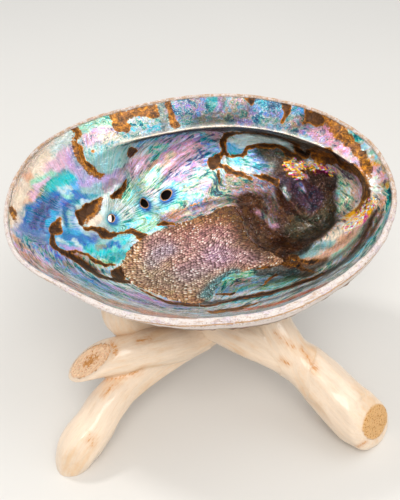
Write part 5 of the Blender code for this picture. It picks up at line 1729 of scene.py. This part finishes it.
class ABALONE_OT_scar(bpy.types.Operator):
    """Adds the muscle scar: a low cushion of pebbles on the floor of the bowl"""

    bl_idname = "abalone.scar"
    bl_label = "Muscle scar"

    def execute(self, context):
        looks, tones = context.scene.abalone_shell, tones_of(context.scene.abalone_nacre)
        bowl = Bowl(looks.relief)
        outline = bowl.sketch.spots(smooth_line(knots_of(SCAR_OUTLINE), True, 4))[:, :2]
        low, high = outline.min(axis=0) - 3.0, outline.max(axis=0) + 3.0
        sides = (np.arange(low[axis], high[axis], SCAR_STEP) for axis in range(2))
        x, y = np.meshgrid(*sides, indexing="ij")
        places = np.stack([x.ravel(), y.ravel()], axis=-1)
        inside = -(away_from_area(places, outline) + uneven(places, SCAR_EDGE_WAVES)).reshape(x.shape)
        base = bowl.depth(x, y, bowl.floor_table(DEPTH_REACH, DEPTH_STEP), DEPTH_STEP)
        crest, spread = self.pebbles(places, looks.pebble)
        crest, spread = crest.reshape(x.shape), spread.reshape(x.shape)
        edge = smooth_step(inside, -0.3, 0.9)
        cushion = -0.5 + 0.9 * edge + 0.35 * np.exp(-(((inside - 1.2) / 0.9) ** 2))
        swell = uneven(places, SCAR_WAVES).reshape(x.shape)
        top = base + cushion + edge * (looks.pebble_height * (crest - 0.3) + swell)
        keep = inside > -SCAR_REACH
        quads = grid_quads(x.shape)
        quads = quads[keep.ravel()[quads].all(axis=1)]
        pairs = np.stack([quads, np.roll(quads, -1, axis=1)], axis=-1).reshape(-1, 2)
        code, back = pairs[:, 0] * x.size + pairs[:, 1], pairs[:, 1] * x.size + pairs[:, 0]
        border = pairs[~np.isin(code, back)]
        used, renamed = np.unique(quads, return_inverse=True)
        quads = renamed.reshape(quads.shape)
        border = np.searchsorted(used, border)
        upper = np.stack([x.ravel(), y.ravel(), top.ravel()], axis=-1)[used]
        lower = np.stack([x.ravel(), y.ravel(), base.ravel() - SCAR_FLOOR], axis=-1)[used]
        count = len(used)
        sides = np.stack([border[:, 1], border[:, 0], border[:, 0] + count, border[:, 1] + count], axis=-1)
        faces = np.concatenate([quads, quads[:, ::-1] + count, sides])
        piece = new_piece("muscle_scar", placed(np.concatenate([upper, lower])), faces)
        both = np.concatenate([used, used])
        add_numbers(piece, "crest", crest.ravel()[both])
        add_numbers(piece, "spread", spread.ravel()[both])
        tint, dull = np.tile(linear(looks.scar), (count, 1)), np.zeros(count)
        for tone, pixels, wide, soft, strength in SCAR_TINTS:
            line = bowl.sketch.spots(smooth_line(knots_of(pixels)))[:, :2]
            cover = strength * cover_of(upper[:, :2], line, wide, soft)
            tint += cover[:, None] * (tones[tone] - tint)
            dull = np.maximum(dull, cover * (tone == "umber"))
        add_numbers(piece, "dull", np.concatenate([dull, dull]))
        add_colours(piece, "tint", np.concatenate([tint, tint]))
        piece.data.materials.append(scar_finish(tones, {"scar_gap_shade": linear(looks.scar_gap_shade)}))
        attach(piece, "root")
        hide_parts("abalone_shell")
        return {"FINISHED"}

    def pebbles(self, places, size):
        """Rounded bumps about scattered points of bent, staggered rows: height from 0 to 1, and a number for each."""
        turn = PEBBLE_TURN
        along = places @ np.array([math.cos(turn), math.sin(turn)])
        across = places @ np.array([-math.sin(turn), math.cos(turn)])
        u = (along + uneven(places, PEBBLE_ALONG)) / (PEBBLE_LONG * size)
        v = (across + uneven(places, PEBBLE_ACROSS)) / size
        best, cell = np.full(len(u), 9.0), np.zeros(len(u))
        for shift_v in (-1, 0, 1):
            row = np.floor(v) + shift_v
            stagger = u + 0.5 * np.mod(row, 2.0)
            for shift_u in (-1, 0, 1):
                column = np.floor(stagger) + shift_u
                chance = np.mod(np.sin(column * 127.1 + row * 311.7) * 43758.5453, 1.0)
                other = np.mod(np.sin(column * 269.5 + row * 183.3) * 24634.6345, 1.0)
                away = np.hypot(column + 0.28 + 0.44 * chance - stagger, row + 0.36 + 0.28 * other - v)
                cell = np.where(away < best, chance, cell)
                best = np.minimum(best, away)
        return np.clip(1.0 - (best / 0.6) ** 2, 0.0, 1.0) * (0.65 + 0.35 * cell), cell


def smooth_path(stations, step):
    """A Catmull-Rom curve through the stations, read at even distances."""
    fine = smooth_line(stations, False, 24)
    run = np.concatenate([[0.0], np.cumsum(np.linalg.norm(np.diff(fine[:, :3], axis=0), axis=1))])
    even = np.linspace(0.0, run[-1], max(4, round(run[-1] / step) + 1))
    return np.stack([np.interp(even, run, fine[:, column]) for column in range(4)], axis=1), even


def relaxed(points, edges, share, times):
    """Points moved again and again by their share of the way to the middle of their neighbours."""
    count = len(points)
    ends = np.concatenate([edges, edges[:, ::-1]])
    near = np.maximum(np.bincount(ends[:, 0], minlength=count), 1)
    for _ in range(times):
        middle = [np.bincount(ends[:, 0], points[ends[:, 1], axis], count) / near for axis in range(3)]
        points = points + share[:, None] * (np.stack(middle, axis=-1) - points)
    return points


class Stick:
    """A round stick along a curved line: its axis, its frame of directions and its closed surface."""

    def __init__(self, stations, foot=PLAIN_END, top=PLAIN_END):
        path, self.run = smooth_path(stations, STICK_STEP)
        self.middle, radius = path[:, :3], path[:, 3]
        self.radius = radius
        self.along = unit(np.gradient(self.middle, axis=0))
        side = [np.cross(self.along[0], (0.0, 0.0, 1.0))]
        for direction in self.along:
            carried = side[-1] - (side[-1] @ direction) * direction
            side.append(carried / np.linalg.norm(carried))
        self.side = np.array(side[1:])
        self.up = np.cross(self.side, self.along)
        turn = np.linspace(0.0, TURN, STICK_SIDES, endpoint=False)[None, :, None]
        circle = np.cos(turn) * self.side[:, None] + np.sin(turn) * self.up[:, None]
        rings = self.middle[:, None] + radius[:, None, None] * circle
        ends = []
        for end, (face, edge_round), outward_way in ((0, foot, -1.0), (-1, top, 1.0)):
            away = np.linalg.norm(self.middle - self.middle[end], axis=1)
            facing = self.along[end] if face is None else np.array(face) / np.linalg.norm(face)
            lean = -(circle[end] @ facing) / (self.along[end] @ facing) * radius[end]
            reach = LEAN_REACH * np.abs(lean).max() + 1.0
            share = (np.clip(1.0 - away / reach, 0.0, 1.0) ** 1.3)[:, None, None]
            rings = rings + share * lean[None, :, None] * self.along[:, None]
            edge = rings[end].copy()
            bend = np.linspace(0.0, 1.0, 7)[:, None, None] * math.pi / 2
            pull = edge_round * (1.0 - np.sin(bend)) * outward_way * self.along[end]
            shrink = 1.0 - edge_round * (1.0 - np.cos(bend)) / radius[end]
            ends.append(self.middle[end] + (edge - self.middle[end])[None] * shrink - pull)
        skip = [int(math.ceil(rounding[1] / STICK_STEP)) + 4 for rounding in (foot, top)]
        rings = np.concatenate([ends[0][::-1], rings[skip[0] : -skip[1]], ends[1]])
        self.points = np.concatenate([rings.reshape(-1, 3), [self.middle[0], self.middle[-1]]])
        self.quads, self.triangles = ring_faces(len(rings), STICK_SIDES)


# Stains of the wood in picture points, with their half-widths in millimetres
RUST_RIGHT = (
    ((276, 333, 280, 338, 286, 343, 294, 347), 0.1),
    ((302, 348, 306, 355, 311, 362, 316, 368), 0.3),
    ((282, 360, 288, 364), 0.25),
    ((310, 361, 315, 371), 0.25),
    ((366, 442, 358, 447), 0.4),
)
RUST_LEFT = (
    ((103, 395, 108, 390, 116, 384), 0.25),
    ((88, 440, 90, 434), 0.2),
    ((138, 341, 144, 340, 150, 338), 0.3),
    ((92, 446, 94, 438), 0.1),
    ((100, 380, 120, 377, 142, 369), 0.12),
    ((132, 373, 142, 368), 0.5),
    ((111, 343, 115, 349, 115, 353), 0.6),
)


class ABALONE_OT_stand(bpy.types.Operator):
    """Adds the two forked branches that carry the shell"""

    bl_idname = "abalone.stand"
    bl_label = "Stick stand"

    def execute(self, context):
        looks = tones_of(context.scene.abalone_wood)
        right = [
            Stick(LEG_RIGHT, FOOT_RIGHT), Stick(ARM_RIGHT),
            Stick(WEB_RIGHT),
        ]
        left = [Stick(LEG_REAR, top=TOP_REAR), Stick(LEG_LEFT)]
        self.branch("branch_right", right, FORKS_RIGHT, CUT_RIGHT, RUST_RIGHT, looks, ["leg_right"])
        self.branch("branch_left", left, FORKS_LEFT, CUT_REAR, RUST_LEFT, looks, ["leg_rear", "leg_left"])
        return {"FINISHED"}

    def branch(self, name, sticks, forks, sawn, rust, looks, nodes):
        """Joins sticks into one body, rests it on the floor, hollows it for the shell and marks its grain and stains.

        sawn tells of the sawn end of the first stick, as the constants of the sawn ends do.
        """
        starts = np.cumsum([0] + [len(stick.points) for stick in sticks])
        points = np.concatenate([stick.points for stick in sticks])
        quads = np.concatenate([stick.quads + start for stick, start in zip(sticks, starts)])
        triangles = np.concatenate([stick.triangles + start for stick, start in zip(sticks, starts)])
        piece = new_piece(name, (points + np.array(OFFSET)) * MM, quads, triangles)
        skin = piece.modifiers.new("skin", "REMESH")
        skin.mode = "VOXEL"
        skin.voxel_size = VOXEL
        applied(piece)
        points = vertex_points(piece) / MM - np.array(OFFSET)
        edges = read(piece.data.edges, "vertices", 2)
        points = relaxed(points, edges, np.full(len(points), SKIN_EASE[0]), SKIN_EASE[1])
        for centre, reach in forks:
            near = np.exp(-((np.linalg.norm(points - np.array(centre), axis=1) / reach) ** 2))
            points = relaxed(points, edges, near, FORK_ROUNDS)
        middle = np.concatenate([stick.middle for stick in sticks])
        near = self.nearest(points, middle)
        frames = [np.concatenate([getattr(stick, part) for stick in sticks]) for part in ("side", "up", "along")]
        step = points - middle[near]
        grain = np.stack([(step * frames[0][near]).sum(1), (step * frames[1][near]).sum(1)], axis=-1)
        runs = np.concatenate([stick.run for stick in sticks])
        grain = np.concatenate([grain, (runs[near] + (step * frames[2][near]).sum(1))[:, None]], axis=1)
        spread = np.concatenate([grain[:, :2], grain[:, 2:] * 0.35], axis=1)
        push = uneven(spread, WOOD_WAVES)
        end, facing, raised, tone, rot = sawn
        centre = sticks[0].middle[end]
        facing = np.array(facing) / np.linalg.norm(facing)
        cut = np.where(np.linalg.norm(points - centre, axis=1) < CUT_REACH, (points - centre) @ facing, -20.0)
        wide = sticks[0].radius[end]
        face = 1.0 - np.hypot(grain[:, 0], grain[:, 1] - raised * wide) / wide
        push *= 1.0 - smooth_step(cut, -2.0, -0.5)
        aside = grain[:, :1] * frames[0][near] + grain[:, 1:2] * frames[1][near]
        aside /= np.maximum(np.linalg.norm(aside, axis=1, keepdims=True), 1e-6)
        points = points + push[:, None] * aside
        points = self.rested(points)
        set_points(piece, (points + np.array(OFFSET)) * MM)
        piece.data.shade_smooth()
        add_numbers(piece, "grain", grain, "FLOAT_VECTOR", "vector")
        add_numbers(piece, "cut", cut)
        add_numbers(piece, "face", face)
        add_numbers(piece, "stain", self.stains(piece, rust))
        piece.data.materials.append(wood_finish(name + "_wood", looks, looks[tone], rot))
        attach(piece, "root")
        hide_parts(*nodes)

    def nearest(self, points, middle):
        """Number of the nearest point of the axes for each point."""
        away = (points**2).sum(1)[:, None] - 2 * points @ middle.T + (middle**2).sum(1)[None, :]
        return np.argmin(away, axis=1)

    def rested(self, points):
        """Points kept above the floor and below the outside of the shell."""
        points[:, 2] = np.maximum(points[:, 2], 0.0)
        shell = unplaced((points + np.array(OFFSET)) * MM)
        limit = outer_height(shell[:, 0], shell[:, 1]) - SEAT_DROP
        away, angle = about_middle(shell[:, 0], shell[:, 1])
        under = away < rim_radius(angle) + lip_width(angle)
        shell[:, 2] = np.where(under, np.minimum(shell[:, 2], limit), shell[:, 2])
        return placed(shell) / MM - np.array(OFFSET)

    def stains(self, piece, rust):
        """Distance in millimetres into the nearest stain, positive inside it."""
        points = vertex_points(piece)
        corners = read(piece.data.loops, "vertex_index").reshape(-1, 4)
        tree = BVHTree.FromPolygons(points.tolist(), corners.tolist())
        depth = np.full(len(points), -MARK_REACH)
        for pixels, wide in rust:
            rays = [picture_ray(pixel) for pixel in smooth_line(knots_of(pixels), False, 4)]
            seen = [tree.ray_cast(Vector(CAMERA_AT), ray)[0] for ray in rays]
            line = np.array([place for place in seen if place is not None])
            if len(line) > 1:
                depth = np.maximum(depth, -away_from_line(points / MM, line / MM, (wide, wide)))
        return depth


class ABALONE_OT_stage(bpy.types.Operator):
    """Adds the floor, the lights and the camera"""

    bl_idname = "abalone.stage"
    bl_label = "Stage"

    def execute(self, context):
        looks = context.scene.abalone_stage
        side = np.linspace(-FLOOR_REACH, FLOOR_REACH, 25)
        x, y = np.meshgrid(side, side, indexing="ij")
        points = np.stack([x.ravel(), y.ravel(), np.zeros(x.size)], axis=-1)
        floor = new_piece("floor", points, grid_quads(x.shape))
        floor.data.materials.append(floor_finish(linear(looks.floor)))
        for name, (place, size, tone) in LIGHTS.items():
            self.light(name, place, size, getattr(looks, name + "_power"), tone)
        world = bpy.data.worlds.new("studio")
        world.use_nodes = True
        world.node_tree.nodes["Background"].inputs["Color"].default_value = SKY
        world.node_tree.nodes["Background"].inputs["Strength"].default_value = looks.sky_power
        context.scene.world = world
        camera = bpy.data.cameras.new("camera")
        camera.sensor_fit = "VERTICAL"
        camera.sensor_height = CAMERA_SENSOR
        camera.lens = CAMERA_LENS
        camera.clip_start = 0.01
        view = bpy.data.objects.new("camera", camera)
        view.location = CAMERA_AT
        view.rotation_euler = (CAMERA_PITCH, 0.0, 0.0)
        context.scene.collection.objects.link(view)
        context.scene.camera = view
        context.scene.view_settings.view_transform = "Standard"
        return {"FINISHED"}

    def light(self, name, place, size, power, tone):
        """A square soft light aimed at the shell."""
        lamp = bpy.data.lights.new(name, "AREA")
        lamp.size = size
        lamp.energy = power
        lamp.color = tone
        held = bpy.data.objects.new(name, lamp)
        held.location = place
        held.rotation_euler = (Vector(AIM) - Vector(place)).to_track_quat("-Z", "Y").to_euler()
        bpy.context.scene.collection.objects.link(held)


class ABALONE_PT_parts(bpy.types.Panel):
    """Lists the pieces and their looks"""

    bl_idname = "ABALONE_PT_parts"
    bl_label = "Abalone shell"
    bl_space_type = "VIEW_3D"
    bl_region_type = "UI"
    bl_category = "Abalone"

    def draw(self, context):
        layout = self.layout
        for group in GROUPS:
            settings = getattr(context.scene, group)
            box = layout.box()
            for name in type(settings).__annotations__:
                box.prop(settings, name)
        for piece in OPERATORS:
            layout.operator(piece.bl_idname)


GROUPS = {
    "abalone_nacre": NacreTones,
    "abalone_shell": ShellLooks,
    "abalone_wood": WoodLooks,
    "abalone_stage": StageLooks,
}
OPERATORS = (ABALONE_OT_shell, ABALONE_OT_scar, ABALONE_OT_stand, ABALONE_OT_stage)


def register():
    """Registers the classes and adds the settings to the scene."""
    for group in GROUPS.values():
        bpy.utils.register_class(group)
    for kind in (*OPERATORS, ABALONE_PT_parts):
        bpy.utils.register_class(kind)
    for name, group in GROUPS.items():
        setattr(bpy.types.Scene, name, PointerProperty(type=group))


def unregister():
    """Takes the settings and the classes away again."""
    for name in GROUPS:
        delattr(bpy.types.Scene, name)
    for kind in (ABALONE_PT_parts, *OPERATORS, *GROUPS.values()):
        bpy.utils.unregister_class(kind)


def main():
    """Makes every piece and the stage."""
    register()
    bpy.ops.abalone.stage()
    bpy.ops.abalone.shell()
    bpy.ops.abalone.scar()
    bpy.ops.abalone.stand()


if __name__ == "__main__":
    main()
